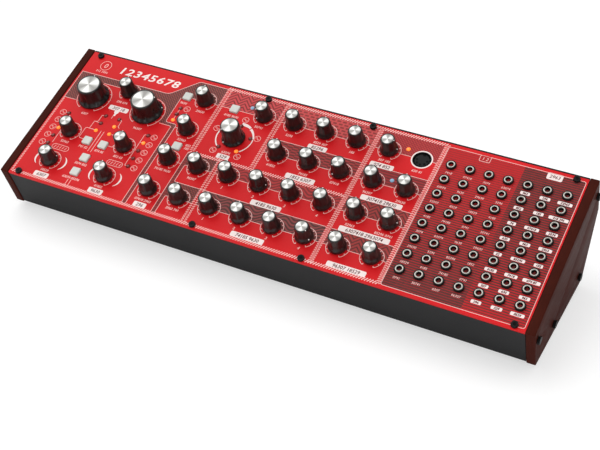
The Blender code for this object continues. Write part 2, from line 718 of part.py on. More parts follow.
def make_end(side, name, frame, cheek_finish, steel_finish):
    """One wooden cheek, and the steel end plate inside it with the four bolts that hold them together."""
    cheek_inner = PANEL_WIDTH / 2 + GAP
    cheek_outer = cheek_inner + CHEEK_THICKNESS
    plate_outer = PANEL_WIDTH / 2
    plate_inner = plate_outer - END_PLATE_THICKNESS
    cheek_shape = bmesh.new()
    add_side_prism(cheek_shape, cheek_outline(), side * cheek_inner, side * cheek_outer)
    cheek = make_object(f"{name}_cheek", cheek_shape, frame, cheek_finish)
    bevel = cheek.modifiers.new("eased_edges", "BEVEL")
    bevel.width = CHEEK_EDGE
    bevel.segments = 1
    bevel.limit_method = "ANGLE"
    holes = bmesh.new()
    hole = hole_radius(BOLT_RADIUS, SMALL_SIDES, GAP)
    for place in bolt_places():
        add_cylinder(holes, hole, -CHEEK_THICKNESS, 2 * CHEEK_THICKNESS, SMALL_SIDES,
                     bolt_frame(place, side, cheek_inner))
    boolean(cheek, make_object(f"{name}_cheek_holes", holes, frame), "DIFFERENCE")
    plate_shape = bmesh.new()
    plate_outline = lowered(grown(case_outline(), -CASE_WALL - GAP), SEAT)
    add_side_prism(plate_shape, plate_outline, side * plate_inner, side * plate_outer)
    plate = make_object(f"{name}_end_plate", plate_shape, frame, steel_finish)
    bolts = bmesh.new()
    head = cheek_outer - plate_outer + GAP
    profile = [
        (BOLT_RADIUS, -END_PLATE_THICKNESS / 2, SMALL_SIDES),
        (BOLT_RADIUS, head, SMALL_SIDES),
        (BOLT_HEAD_RADIUS, head, NUT_SIDES),
        (BOLT_HEAD_RADIUS, head + BOLT_HEAD_HEIGHT, NUT_SIDES),
    ]
    for place in bolt_places():
        add_turned(bolts, profile, bolt_frame(place, side, plate_outer))
    boolean(plate, make_object(f"{name}_bolts", bolts, frame), "UNION")


def make_rail(name, frame, finish, front, screw_row):
    """A rail across the case under one edge of the panel, with the four screws that hold the panel down."""
    half_length = PANEL_WIDTH / 2 - END_PLATE_THICKNESS - GAP
    shape = bmesh.new()
    add_box(shape, (-half_length, front, RAIL_BOTTOM), (half_length, front + RAIL_WIDTH, SEAT))
    rail = make_object(name, shape, frame, finish)
    screws = bmesh.new()
    profile = [
        (SCREW_RADIUS, -SCREW_THREAD, SMALL_SIDES),
        (SCREW_RADIUS, GAP, SMALL_SIDES),
        (SCREW_HEAD_RADIUS, GAP, NUT_SIDES),
        (SCREW_HEAD_RADIUS, GAP + SCREW_HEAD_HEIGHT, NUT_SIDES),
    ]
    for along in panel_screw_places():
        add_turned(screws, profile, at((along, screw_row)))
    boolean(rail, make_object(f"{name}_screws", screws, frame), "UNION")


def knob_profile(sizes, notches=0):
    """A knob on its potentiometer's shaft, measured up from the panel's top face."""
    height = sizes["height"]
    skirt_sides = 3 * notches if notches else KNOB_SIDES
    shaft_bottom = -BORE_DEPTH + GAP
    return [
        (SHAFT_RADIUS, shaft_bottom, SHAFT_SIDES),
        (SHAFT_RADIUS, KNOB_LIFT, SHAFT_SIDES),
        (sizes["skirt"], KNOB_LIFT, skirt_sides, notches),
        (sizes["skirt"], KNOB_LIFT + sizes["edge"], skirt_sides, notches),
        (sizes["base"], KNOB_LIFT + sizes["flare"], KNOB_SIDES),
        (sizes["top"], height - KNOB_EDGE, KNOB_SIDES),
        (sizes["top"] - KNOB_EDGE, height, KNOB_SIDES),
    ]


def make_knobs(frame, finish):
    groups = (
        (SMALL_KNOBS, SMALL_KNOB, 0),
        (LARGE_KNOBS, LARGE_KNOB, SCALLOPS),
        (SHAPE_KNOBS, SHAPE_KNOB, SCALLOPS),
    )
    for knobs, sizes, notches in groups:
        for name, place in knobs.items():
            shape = bmesh.new()
            add_turned(shape, knob_profile(sizes, notches))
            make_object(name, shape, frame, finish, (*on_panel(place), 0))


def square(width):
    """Corner radius of a square loop of this width."""
    return width / 2 / math.cos(math.pi / SQUARE_SIDES)


def make_buttons(frame, finish):
    """Push buttons, each held under the panel by its flange and standing above its switch."""
    flange_top = SEAT
    flange_bottom = flange_top - BUTTON_FLANGE_THICKNESS
    stem_bottom = SWITCH_TOP + BUTTON_TRAVEL + GAP
    profile = [
        (square(BUTTON_STEM_WIDTH), stem_bottom, SQUARE_SIDES),
        (square(BUTTON_STEM_WIDTH), flange_bottom, SQUARE_SIDES),
        (square(BUTTON_WIDTH + 2 * BUTTON_FLANGE), flange_bottom, SQUARE_SIDES),
        (square(BUTTON_WIDTH + 2 * BUTTON_FLANGE), flange_top, SQUARE_SIDES),
        (square(BUTTON_WIDTH), flange_top, SQUARE_SIDES),
        (square(BUTTON_WIDTH), BUTTON_HEIGHT - BUTTON_EDGE, SQUARE_SIDES),
        (square(BUTTON_WIDTH - 2 * BUTTON_EDGE), BUTTON_HEIGHT, SQUARE_SIDES),
    ]
    for name, place in BUTTONS.items():
        shape = bmesh.new()
        add_turned(shape, profile)
        make_object(name, shape, frame, finish, (*on_panel(place), 0))


def board_span():
    """How far the boards reach up the slope: from the front rail to the rear rail."""
    front = RAIL_FRONT + RAIL_WIDTH + BOARD_CLEARANCE
    return front, PANEL_DEPTH - front


def board_split():
    """Where the control board ends and the patch board begins, from the panel's left edge."""
    return (COLUMNS[-1] + PATCH_LEFT) / 2


def make_control_board(frame, finish):
    """The board with the potentiometers, the buttons' switches and the indicator lights."""
    left = END_PLATE_THICKNESS + BOARD_CLEARANCE - PANEL_WIDTH / 2
    right = board_split() - PANEL_WIDTH / 2 - BOARD_CLEARANCE / 2
    front, back = board_span()
    shape = bmesh.new()
    add_box(shape, (left, front, BOARD_TOP - BOARD_THICKNESS), (right, back, BOARD_TOP))
    board = make_object("control_board", shape, frame, finish)
    parts = bmesh.new()
    foot = BOARD_TOP - BOARD_BITE
    for place in BUTTONS.values():
        add_block(parts, on_panel(place), SWITCH_WIDTH, SWITCH_WIDTH, foot, SWITCH_TOP)
    for place in light_places():
        add_cylinder(parts, LIGHT_RADIUS, foot, LIGHT_PROUD, SMALL_SIDES, at(place))
    for place in ALL_KNOBS.values():
        add_block(parts, on_panel(place), POT_WIDTH, POT_DEPTH, foot, POT_TOP)
    boolean(board, make_object("control_board_parts", parts, frame), "UNION")
    bushings = bmesh.new()
    bore = hole_radius(SHAFT_RADIUS, SMALL_SIDES, SHAFT_CLEARANCE)
    bushing = [
        (BUSHING_RADIUS, POT_TOP - BOARD_BITE, SMALL_SIDES),
        (BUSHING_RADIUS, 0, SMALL_SIDES),
        (bore, 0, SMALL_SIDES),
        (bore, -BORE_DEPTH, SMALL_SIDES),
    ]
    for place in ALL_KNOBS.values():
        add_turned(bushings, bushing, at(place))
    boolean(board, make_object("control_board_bushings", bushings, frame), "UNION")


def make_patch_board(frame, finish):
    """The board with the patch sockets, whose nuts lie on the panel."""
    left = board_split() - PANEL_WIDTH / 2 + BOARD_CLEARANCE / 2
    right = PANEL_WIDTH / 2 - END_PLATE_THICKNESS - BOARD_CLEARANCE
    front, back = board_span()
    shape = bmesh.new()
    add_box(shape, (left, front, BOARD_TOP - BOARD_THICKNESS), (right, back, BOARD_TOP))
    board = make_object("patch_board", shape, frame, finish)
    bodies = bmesh.new()
    barrels = bmesh.new()
    profile = [
        (JACK_BARREL_RADIUS, SEAT - BOARD_BITE, SMALL_SIDES),
        (JACK_BARREL_RADIUS, GAP, SMALL_SIDES),
        (JACK_NUT_RADIUS, GAP, NUT_SIDES),
        (JACK_NUT_RADIUS, JACK_HEIGHT, NUT_SIDES),
        (JACK_BORE_RADIUS, JACK_HEIGHT, SMALL_SIDES),
        (JACK_BORE_RADIUS, -JACK_BORE_DEPTH, SMALL_SIDES),
    ]
    for place in patch_places():
        add_block(bodies, on_panel(place), JACK_BODY_WIDTH, JACK_BODY_DEPTH, BOARD_TOP - BOARD_BITE, SEAT)
        add_turned(barrels, profile, at(place))
    boolean(board, make_object("patch_board_bodies", bodies, frame), "UNION")
    boolean(board, make_object("patch_board_barrels", barrels, frame), "UNION")


def din_profile(base):
    """A round socket's nose, with the slot that takes the plug's shell, measured from its outer face."""
    slot_outer = DIN_RADIUS - DIN_RIM
    slot_inner = slot_outer - DIN_SLOT
    return [
        (DIN_RADIUS, base, ROUND_SIDES),
        (DIN_RADIUS, 0, ROUND_SIDES),
        (slot_outer, 0, ROUND_SIDES),
        (slot_outer, -DIN_SLOT_DEPTH, ROUND_SIDES),
        (slot_inner, -DIN_SLOT_DEPTH, ROUND_SIDES),
        (slot_inner, -DIN_CORE_DROP, ROUND_SIDES),
    ]


def add_pin_holes(shape, place):
    """Five holes on half a circle in a round socket's face."""
    for index in range(PIN_COUNT):
        angle = math.pi / 2 + (index - (PIN_COUNT - 1) / 2) * PIN_ANGLE
        centre = Matrix.Translation((PIN_CIRCLE * math.cos(angle), PIN_CIRCLE * math.sin(angle), 0))
        low = -DIN_CORE_DROP - PIN_HOLE_DEPTH
        add_cylinder(shape, PIN_HOLE_RADIUS, low, GAP, SMALL_SIDES, place @ centre)


def make_midi_in_socket(frame, finish):
    """The five-pin socket that stands on the control board and shows through the panel."""
    bottom = BOARD_TOP + GAP
    shape = bmesh.new()
    add_block(shape, (0, 0), DIN_BODY_WIDTH, DIN_BODY_HEIGHT, bottom, SEAT)
    location = (*on_panel(DIN_CENTRE), 0)
    socket = make_object("midi_in_socket", shape, frame, finish, location)
    bore = bmesh.new()
    add_cylinder(bore, DIN_RADIUS - DIN_RIM / 2, -DIN_SLOT_DEPTH - BOARD_BITE, 0, ROUND_SIDES)
    boolean(socket, make_object("midi_in_bore", bore, frame, None, location), "DIFFERENCE")
    nose = bmesh.new()
    add_turned(nose, din_profile(-DIN_SLOT_DEPTH - 2 * BOARD_BITE))
    boolean(socket, make_object("midi_in_nose", nose, frame, None, location), "UNION")
    holes = bmesh.new()
    add_pin_holes(holes, Matrix.Identity(4))
    boolean(socket, make_object("midi_in_pin_holes", holes, frame, None, location), "DIFFERENCE")


def rocker_frame_size():
    """Width and height of the rocker's frame, outside."""
    reach = math.hypot(ROCKER_HALF_HEIGHT, ROCKER_PROUD) + ROCKER_CLEARANCE
    return ROCKER_BODY_WIDTH, 2 * (reach + ROCKER_FRAME_WALL)


def make_rear_board(frame, finish):
    """The board behind the back of the case, with every rear connector and the rocker's frame."""
    left = PANEL_WIDTH / 2 - phone_insets()[-1] - REAR_BOARD_MARGIN
    right = PANEL_WIDTH / 2 - ROCKER_INSET + REAR_BOARD_MARGIN
    back = CASE_DEPTH - CASE_WALL - REAR_BOARD_EDGE
    front = CASE_DEPTH - CASE_WALL - PHONE_BODY_DEPTH
    shape = bmesh.new()
    add_box(shape, (left, front, REAR_BOARD_TOP - BOARD_THICKNESS), (right, back, REAR_BOARD_TOP))
    board = make_object("rear_connector_board", shape, frame, finish)
    boolean(board, make_rear_bodies(frame), "UNION")
    boolean(board, make_rear_noses(frame), "UNION")
    boolean(board, make_rear_bores(frame), "DIFFERENCE")
    boolean(board, make_rear_contacts(frame), "UNION")


def make_rear_bodies(frame):
    """The connectors' bodies, which stand on the rear board just inside the back of the case."""
    bodies = bmesh.new()
    face = CASE_WALL + GAP
    spots = [(inset, PHONE_BODY_WIDTH, PHONE_BODY_DEPTH) for inset in phone_insets()]
    spots.append((THRU_INSET, DIN_BODY_WIDTH, REAR_BODY_DEPTH))
    spots.append((USB_INSET, USB_BODY_WIDTH, REAR_BODY_DEPTH))
    spots.append((POWER_INSET, POWER_BODY_WIDTH, REAR_BODY_DEPTH))
    spots.append((ROCKER_INSET, ROCKER_BODY_WIDTH, REAR_BODY_DEPTH))
    for inset, width, depth in spots:
        middle = PANEL_WIDTH / 2 - inset
        add_box(
            bodies,
            (middle - width / 2, CASE_DEPTH - depth, REAR_BOARD_TOP - BOARD_BITE),
            (middle + width / 2, CASE_DEPTH - face, REAR_AXIS + REAR_BODY_HEIGHT / 2),
        )
    return make_object("rear_bodies", bodies, frame)


def make_rear_noses(frame):
    """What reaches from the connectors' bodies through the back of the case."""
    noses = bmesh.new()
    base = -CASE_WALL - GAP - BOARD_BITE
    profile = [
        (PHONE_BARREL_RADIUS, base, ROUND_SIDES),
        (PHONE_BARREL_RADIUS, GAP, ROUND_SIDES),
        (PHONE_NUT_RADIUS, GAP, SMALL_SIDES),
        (PHONE_NUT_RADIUS, GAP + PHONE_NUT_HEIGHT, SMALL_SIDES),
    ]
    for inset in phone_insets():
        add_turned(noses, profile, rear_place(inset))
    add_cylinder(noses, DIN_RADIUS, base, 0, ROUND_SIDES, rear_place(THRU_INSET))
    add_cylinder(noses, POWER_RADIUS, base, 0, ROUND_SIDES, rear_place(POWER_INSET))
    add_rear_block(noses, USB_INSET, USB_WIDTH, USB_HEIGHT, -base, 0)
    width, height = rocker_frame_size()
    add_rear_block(noses, ROCKER_INSET, width, height, -base, -GAP)
    return make_object("rear_noses", noses, frame)


def make_rear_bores(frame):
    bores = bmesh.new()
    outside = PHONE_NUT_HEIGHT + 2 * GAP
    for inset in phone_insets():
        add_cylinder(bores, PHONE_BORE_RADIUS, -PHONE_BORE_DEPTH, outside, ROUND_SIDES, rear_place(inset))
    add_cylinder(bores, DIN_RADIUS - DIN_RIM, -DIN_SLOT_DEPTH, outside, ROUND_SIDES, rear_place(THRU_INSET))
    add_cylinder(bores, POWER_BORE_RADIUS, -POWER_BORE_DEPTH, outside, ROUND_SIDES, rear_place(POWER_INSET))
    usb_width, usb_height = USB_WIDTH - 2 * USB_WALL, USB_HEIGHT - 2 * USB_WALL
    add_rear_block(bores, USB_INSET, usb_width, usb_height, USB_DEPTH, -outside)
    width, height = rocker_frame_size()
    wall = 2 * ROCKER_FRAME_WALL
    add_rear_block(bores, ROCKER_INSET, width - wall, height - wall, ROCKER_FRAME_DEPTH, -outside)
    return make_object("rear_bores", bores, frame)


def make_rear_contacts(frame):
    """The cores and pins that stand in the connectors' bores."""
    contacts = bmesh.new()
    core = DIN_RADIUS - DIN_RIM - DIN_SLOT
    floor = -DIN_SLOT_DEPTH - BOARD_BITE
    add_cylinder(contacts, core, floor, -DIN_CORE_DROP, ROUND_SIDES, rear_place(THRU_INSET))
    pin_floor = -POWER_BORE_DEPTH - BOARD_BITE
    power = rear_place(POWER_INSET)
    add_cylinder(contacts, POWER_PIN_RADIUS, pin_floor, -POWER_PIN_DROP, SMALL_SIDES, power)
    tongue = (USB_TONGUE_WIDTH, USB_TONGUE_HEIGHT)
    add_rear_block(contacts, USB_INSET, *tongue, USB_DEPTH + BOARD_BITE, USB_TONGUE_DROP)
    return make_object("rear_contacts", contacts, frame)


def make_power_rocker(frame, finish):
    """The rocker, which turns about the instrument's long axis. At rest its upper end stands out."""
    side_view = [
        Vector((ROCKER_PROUD, ROCKER_HALF_HEIGHT)),
        Vector((ROCKER_WAIST, 0)),
        Vector((ROCKER_PROUD, -ROCKER_HALF_HEIGHT)),
        Vector((-ROCKER_BACK, -ROCKER_BACK_HALF_HEIGHT)),
        Vector((-ROCKER_BACK, ROCKER_BACK_HALF_HEIGHT)),
    ]
    shape = bmesh.new()
    add_side_prism(shape, side_view, -ROCKER_WIDTH / 2, ROCKER_WIDTH / 2)
    bmesh.ops.rotate(shape, verts=shape.verts, matrix=Matrix.Rotation(-ROCKER_TILT, 3, "X"))
    location = (PANEL_WIDTH / 2 - ROCKER_INSET, CASE_DEPTH, REAR_AXIS)
    make_object("power_rocker", shape, frame, finish, location)


def build():
    clear_scene()
    finishes = make_materials()
    frame = make_panel_frame()
    make_control_panel(frame, finishes["panel"])
    make_base_tray(frame, finishes["case"])
    make_end(-1, "left", frame, finishes["cheek"], finishes["steel"])
    make_end(1, "right", frame, finishes["cheek"], finishes["steel"])
    make_rail("front_rail", frame, finishes["rail"], RAIL_FRONT, SCREW_EDGE)
    rear_rail_front = PANEL_DEPTH - RAIL_FRONT - RAIL_WIDTH
    make_rail("rear_rail", frame, finishes["rail"], rear_rail_front, PANEL_DEPTH - SCREW_EDGE)
    make_feet(finishes["rubber"])
    make_control_board(frame, finishes["board"])
    make_patch_board(frame, finishes["board"])
    make_rear_board(frame, finishes["board"])
    make_midi_in_socket(frame, finishes["socket"])
    make_knobs(frame, finishes["knob"])
    make_buttons(frame, finishes["button"])
    make_power_rocker(frame, finishes["knob"])


build()
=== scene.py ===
"""Looks of a desktop analog synthesizer: red control panel, dark knobs with spun caps, patch field, dark cheeks."""
import json
import math

import bmesh
import bpy
from mathutils import Euler, Matrix, Vector


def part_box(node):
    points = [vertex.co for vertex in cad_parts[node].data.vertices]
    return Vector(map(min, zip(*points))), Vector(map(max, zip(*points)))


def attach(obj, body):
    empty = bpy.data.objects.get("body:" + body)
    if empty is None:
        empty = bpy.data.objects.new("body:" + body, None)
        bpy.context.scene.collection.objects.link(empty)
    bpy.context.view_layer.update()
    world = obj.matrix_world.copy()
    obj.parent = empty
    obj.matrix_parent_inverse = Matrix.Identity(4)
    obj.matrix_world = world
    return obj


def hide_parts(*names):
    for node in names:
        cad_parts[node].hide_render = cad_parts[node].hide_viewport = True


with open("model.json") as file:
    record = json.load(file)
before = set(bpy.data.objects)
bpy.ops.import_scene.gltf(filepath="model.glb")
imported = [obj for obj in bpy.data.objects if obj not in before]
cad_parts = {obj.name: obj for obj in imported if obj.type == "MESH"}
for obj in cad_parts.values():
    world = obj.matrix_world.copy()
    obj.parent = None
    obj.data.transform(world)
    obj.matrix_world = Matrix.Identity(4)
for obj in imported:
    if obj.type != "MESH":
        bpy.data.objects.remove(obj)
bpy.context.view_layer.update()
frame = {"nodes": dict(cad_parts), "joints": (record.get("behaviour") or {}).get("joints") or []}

MM = 0.001

# The control panel's own frame: u along its front edge, v up its slope, n square to it, in millimetres
PANEL_SHEET = 2.0
tilt_axis = Vector(frame["joints"][0]["axis"])
TILT = math.atan2(-tilt_axis.y, tilt_axis.z)
panel_low, panel_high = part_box("control_panel")
corner = Vector((panel_low.x, panel_low.y, panel_low.z + PANEL_SHEET * MM * math.cos(TILT)))
PANEL = Matrix.Translation(corner) @ Matrix.Rotation(TILT, 4, "X") @ Matrix.Scale(MM, 4)
WIDTH = (panel_high.x - panel_low.x) / MM
DEPTH = (panel_high.z - corner.z) / MM / math.sin(TILT)
WORLD_MM = Matrix.Scale(MM, 4)

# Places on the panel, in (u, v)
KNOBS = {}
for joint in frame["joints"]:
    if joint["child"].endswith("_knob"):
        spot = PANEL.inverted() @ Vector(joint["pos_m"])
        KNOBS[joint["child"]] = (spot.x, spot.y, sum(joint["range_deg"]) / 2)
BUTTONS = {
    "osc1_range_button": (43.8, 45.7),
    "osc2_range_button": (58.2, 45.7),
    "osc_sync_button": (51.0, 30.5),
    "two_voice_button": (51.0, 16.7),
    "filter_mode_button": (98.0, 109.0),
    "key_track_button": (113.8, 62.8),
    "key_sync_button": (139.2, 109.0),
}
WAVE_ROWS = [34.4 + 7.7 * step for step in range(5)]
LFO_CENTRE = KNOBS["lfo_shape_knob"][:2]
LFO_LIGHT_REACH = 12.8
LFO_LIGHT_ANGLES = [90 + 72 * step for step in range(5)]
LIGHTS_ON = [(14.5, 49.8), (87.3, 57.5), (44.9, 56.7), (57.1, 56.7), (57.1, 64.3), (98.0, 84.8), (278.7, 114.3)]
LIGHTS_PALE = [(151.7, 114.3), (278.7, 84.6)]
LIGHTS_OFF = [(14.5, v) for v in WAVE_ROWS if abs(v - 49.8) > 1]
LIGHTS_OFF += [(87.3, v) for v in WAVE_ROWS if abs(v - 57.5) > 1]
LIGHTS_OFF += [(44.9, 64.3), (44.9, 71.9), (57.1, 71.9), (98.0, 90.9), (98.0, 97.0)]
for angle in LFO_LIGHT_ANGLES:
    turn = math.radians(angle)
    spot = (LFO_CENTRE[0] + LFO_LIGHT_REACH * math.cos(turn), LFO_CENTRE[1] + LFO_LIGHT_REACH * math.sin(turn))
    (LIGHTS_ON if angle % 360 == 306 else LIGHTS_OFF).append(spot)
JACK_COLUMNS = [313.0 + 14.0 * column for column in range(7)]
JACK_ROWS = [17.2 + 13.257 * row for row in range(8)]
JACKS = [(u, v) for v in JACK_ROWS for u in JACK_COLUMNS]
DIN = (291.4, 108.6)
SCREWS = [(u, v) for u in (8.0, 160.0, 246.3, 398.4) for v in (3.0, 125.5)]
FIELD_SPLIT = 362.0
LFO_RING = (LFO_CENTRE[0] + 0.25, LFO_CENTRE[1] + 1.0)
# Turn of the first of the three painted highlight fans on the knob caps
PAINTED_HIGHLIGHT_ANGLE = math.radians(40)


# Shader nodes

def node(tree, kind, values=None, **settings):
    """Add a node, with its settings, and with a value or a link for each socket named."""
    made = tree.nodes.new(kind)
    for key, value in settings.items():
        setattr(made, key, value)
    for key, value in (values or {}).items():
        if isinstance(value, bpy.types.NodeSocket):
            tree.links.new(value, made.inputs[key])
        else:
            made.inputs[key].default_value = value
    return made


def maths(tree, operation, *values):
    return node(tree, "ShaderNodeMath", dict(enumerate(values)), operation=operation).outputs[0]


def linear(red, green, blue):
    """Linear colour of a screen colour given as 0 to 255."""
    levels = [level / 255 for level in (red, green, blue)]
    return [level / 12.92 if level <= 0.04045 else ((level + 0.055) / 1.055) ** 2.4 for level in levels] + [1.0]


def start_material(name):
    material = bpy.data.materials.new(name)
    material.use_nodes = True
    tree = material.node_tree
    tree.nodes.clear()
    return material, tree


def object_place(tree, size, turn=(0, 0, 0)):
    """Object coordinates in units of size, turned."""
    place = node(tree, "ShaderNodeTexCoord").outputs["Object"]
    values = {"Vector": place, "Rotation": turn, "Scale": (size, size, size)}
    return node(tree, "ShaderNodeMapping", values, vector_type="TEXTURE").outputs[0]


def panel_place(tree):
    """Object coordinates turned into the panel's (u, v, n) in millimetres."""
    place = node(tree, "ShaderNodeTexCoord").outputs["Object"]
    values = {"Vector": place, "Location": tuple(corner), "Rotation": (TILT, 0, 0), "Scale": (MM, MM, MM)}
    return node(tree, "ShaderNodeMapping", values, vector_type="TEXTURE").outputs[0]


def noise(tree, place, scale, detail=2.0, rough=0.5):
    values = {"Vector": place, "Scale": scale, "Detail": detail, "Roughness": rough}
    return node(tree, "ShaderNodeTexNoise", values).outputs["Fac"]


def spread(tree, value, low, high, from_low=0.3, from_high=0.7):
    values = {"Value": value, "From Min": from_low, "From Max": from_high, "To Min": low, "To Max": high}
    return node(tree, "ShaderNodeMapRange", values).outputs["Result"]


def blended(tree, share, low, high):
    made = node(tree, "ShaderNodeMix", data_type="RGBA")
    for socket, value in ((made.inputs["Factor"], share), (made.inputs[6], low), (made.inputs[7], high)):
        if isinstance(value, bpy.types.NodeSocket):
            tree.links.new(value, socket)
        else:
            socket.default_value = value
    return made.outputs[2]


def surface(tree, colour, roughness, bump=None, bump_height=0.0, normal=None, **constants):
    """Finish a material with a principled surface; constants are set on its own sockets."""
    values = {"Base Color": colour, "Roughness": roughness}
    if bump is not None:
        relief = node(tree, "ShaderNodeBump", {"Height": bump, "Strength": 1.0, "Distance": bump_height})
        values["Normal"] = relief.outputs[0]
    values.update({key.replace("_", " "): value for key, value in constants.items()})
    body = node(tree, "ShaderNodeBsdfPrincipled", values)
    node(tree, "ShaderNodeOutputMaterial", {"Surface": body.outputs[0]})
    return body


def grained(name, dark, light, rough, grain, bump_height, cloud=0.06, **constants):
    """A solid finish: soft clouds of two close colours, uneven gloss, and a fine grain in relief."""
    material, tree = start_material(name)
    clouds = noise(tree, object_place(tree, cloud), 1.0, 3.0)
    fine = noise(tree, object_place(tree, grain), 1.0, 2.0)
    share = spread(tree, maths(tree, "ADD", maths(tree, "MULTIPLY", clouds, 0.6), maths(tree, "MULTIPLY", fine, 0.4)), 0, 1)
    colour = blended(tree, share, dark, light)
    roughness = spread(tree, clouds, rough[0], rough[1])
    surface(tree, colour, roughness, fine, bump_height, **constants)
    return material


def panel_paint():
    """Red stoved paint with a faint orange-peel skin."""
    material, tree = start_material("panel_red_paint")
    place = panel_place(tree)
    peel = noise(tree, place, 0.9, 2.0)
    clouds = noise(tree, place, 0.02, 2.0)
    colour = blended(tree, spread(tree, clouds, 0, 1), linear(212, 23, 29), linear(220, 27, 33))
    surface(tree, colour, spread(tree, peel, 0.36, 0.44), peel, 0.00002, Specular_IOR_Level=0.12)
    return material


def stripes(tree, value, pitch, share):
    """1 in the first share of every pitch of the value, and 0 in the rest."""
    part = maths(tree, "FRACT", maths(tree, "DIVIDE", value, pitch))
    return maths(tree, "LESS_THAN", part, share)


def motif_mask(tree, motif, u, v):
    """1 on the dark lines of a small regular motif, in panel millimetres."""
    if motif == "net":
        rising, falling = maths(tree, "ADD", u, v), maths(tree, "SUBTRACT", u, v)
        return maths(tree, "MAXIMUM", stripes(tree, rising, 2.3, 0.42), stripes(tree, falling, 2.3, 0.42))
    if motif == "bricks":
        course = maths(tree, "FLOOR", maths(tree, "DIVIDE", v, 2.6))
        shifted = maths(tree, "ADD", u, maths(tree, "MULTIPLY", course, 2.3))
        return maths(tree, "MULTIPLY", stripes(tree, shifted, 4.6, 0.66), stripes(tree, v, 2.6, 0.55))
    if motif == "chevrons":
        return stripes(tree, maths(tree, "ADD", maths(tree, "PINGPONG", u, 4.8), v), 3.4, 0.42)
    if motif == "waves":
        swing = maths(tree, "MULTIPLY", maths(tree, "SINE", maths(tree, "MULTIPLY", u, 0.42)), 1.9)
        return stripes(tree, maths(tree, "ADD", v, swing), 2.9, 0.5)
    if motif == "steps":
        lift = maths(tree, "MULTIPLY", stripes(tree, u, 9.0, 0.5), 1.3)
        return stripes(tree, maths(tree, "ADD", v, lift), 2.6, 0.5)
    return stripes(tree, v, 2.3, 0.5)


def ink_band(name, motif, ground, ink):
    """Printed band: dark lines of a small regular motif on a lighter ground, a little worn."""
    material, tree = start_material(name)
    place = panel_place(tree)
    split = node(tree, "ShaderNodeSeparateXYZ", {"Vector": place})
    mask = motif_mask(tree, motif, split.outputs["X"], split.outputs["Y"])
    wear = noise(tree, place, 0.35, 3.0)
    colour = blended(tree, maths(tree, "MULTIPLY", mask, spread(tree, wear, 0.8, 1.0)), ground, ink)
    surface(tree, colour, spread(tree, wear, 0.34, 0.42), noise(tree, place, 0.9), 0.00002, Specular_IOR_Level=0.1)
    return material


def field_ink():
    """Printed field under the patch sockets: rules that grow from thin to bold, the other way on its right part."""
    material, tree = start_material("patch_field_ink")
    place = panel_place(tree)
    split = node(tree, "ShaderNodeSeparateXYZ", {"Vector": place})
    u, v = split.outputs["X"], split.outputs["Y"]
    down = spread(tree, v, 0.86, 0.14, 8, 118)
    up = spread(tree, maths(tree, "POWER", spread(tree, v, 0, 1, 4, 118), 0.45), 0.3, 0.84, 0, 1)
    left = maths(tree, "LESS_THAN", u, FIELD_SPLIT)
    right = maths(tree, "SUBTRACT", 1, left)
    share = maths(tree, "ADD", maths(tree, "MULTIPLY", left, down), maths(tree, "MULTIPLY", right, up))
    rules = stripes(tree, v, 1.9, share)
    wear = noise(tree, place, 0.35, 3.0)
    worn = maths(tree, "MULTIPLY", rules, spread(tree, wear, 0.85, 1.0))
    colour = blended(tree, worn, linear(192, 36, 40), linear(84, 50, 48))
    surface(tree, colour, spread(tree, wear, 0.34, 0.42), noise(tree, place, 0.9), 0.00002, Specular_IOR_Level=0.1)
    return material


def wood_stain():
    """Dark stained wood: fine grain along the cheek."""
    material, tree = start_material("cheek_dark_wood")
    place = node(tree, "ShaderNodeTexCoord").outputs["Object"]
    stretched = node(tree, "ShaderNodeMapping", {"Vector": place, "Scale": (900, 60, 900)}).outputs[0]
    grain = noise(tree, stretched, 1.0, 5.0, 0.6)
    broad = noise(tree, object_place(tree, 0.03), 1.0, 3.0)
    share = spread(tree, maths(tree, "MULTIPLY", maths(tree, "ADD", grain, broad), 0.5), 0, 1)
    colour = blended(tree, share, linear(56, 21, 15), linear(72, 28, 19))
    surface(tree, colour, spread(tree, grain, 0.45, 0.56), grain, 0.00003, Specular_IOR_Level=0.03)
    return material


def spun_metal():
    """Turned aluminium: fine rings, and a painted highlight in the base colour: three bright fans with darker painted
    shade between them, fixed on the cap.
    """
    material, tree = start_material("spun_aluminium")
    lathe = node(tree, "ShaderNodeUVMap", uv_map="UVMap").outputs[0]
    split = node(tree, "ShaderNodeSeparateXYZ", {"Vector": lathe})
    angle = maths(tree, "MULTIPLY", split.outputs["X"], math.tau)
    rings = noise(tree, node(tree, "ShaderNodeCombineXYZ", {"X": 0.0, "Y": split.outputs["Y"]}).outputs[0], 90, 2.0)
    # Painted highlight: three bright fans and darker sectors between them, painted into the cap's colour by angle round
    # the cap
    painted_highlight_fans = maths(tree, "COSINE", maths(tree, "MULTIPLY", maths(tree, "SUBTRACT", angle, PAINTED_HIGHLIGHT_ANGLE), 3.0))
    around = {"X": maths(tree, "COSINE", angle), "Y": maths(tree, "SINE", angle)}
    highlight_streaks = noise(tree, node(tree, "ShaderNodeCombineXYZ", around).outputs[0], 6.0, 3.0)
    share = spread(tree, maths(tree, "ADD", painted_highlight_fans, maths(tree, "MULTIPLY", highlight_streaks, 1.2)), 0.0, 1.0, -0.3, 1.3)
    fan_highlight_colour = blended(tree, share, linear(152, 150, 146), linear(240, 240, 236))
    colour = blended(tree, spread(tree, rings, 0, 0.12), fan_highlight_colour, linear(150, 150, 148))
    along = node(tree, "ShaderNodeTangent", direction_type="UV_MAP", uv_map="UVMap").outputs[0]
    gloss = {"Metallic": 0.3, "Anisotropic": 0.6, "Tangent": along, "Specular_IOR_Level": 0.3}
    surface(tree, colour, spread(tree, rings, 0.28, 0.38), rings, 0.00001, **gloss)
    return material


INKS = {"rough": (0.4, 0.5), "grain": 0.0004, "bump_height": 0.00001, "Specular_IOR_Level": 0.12}


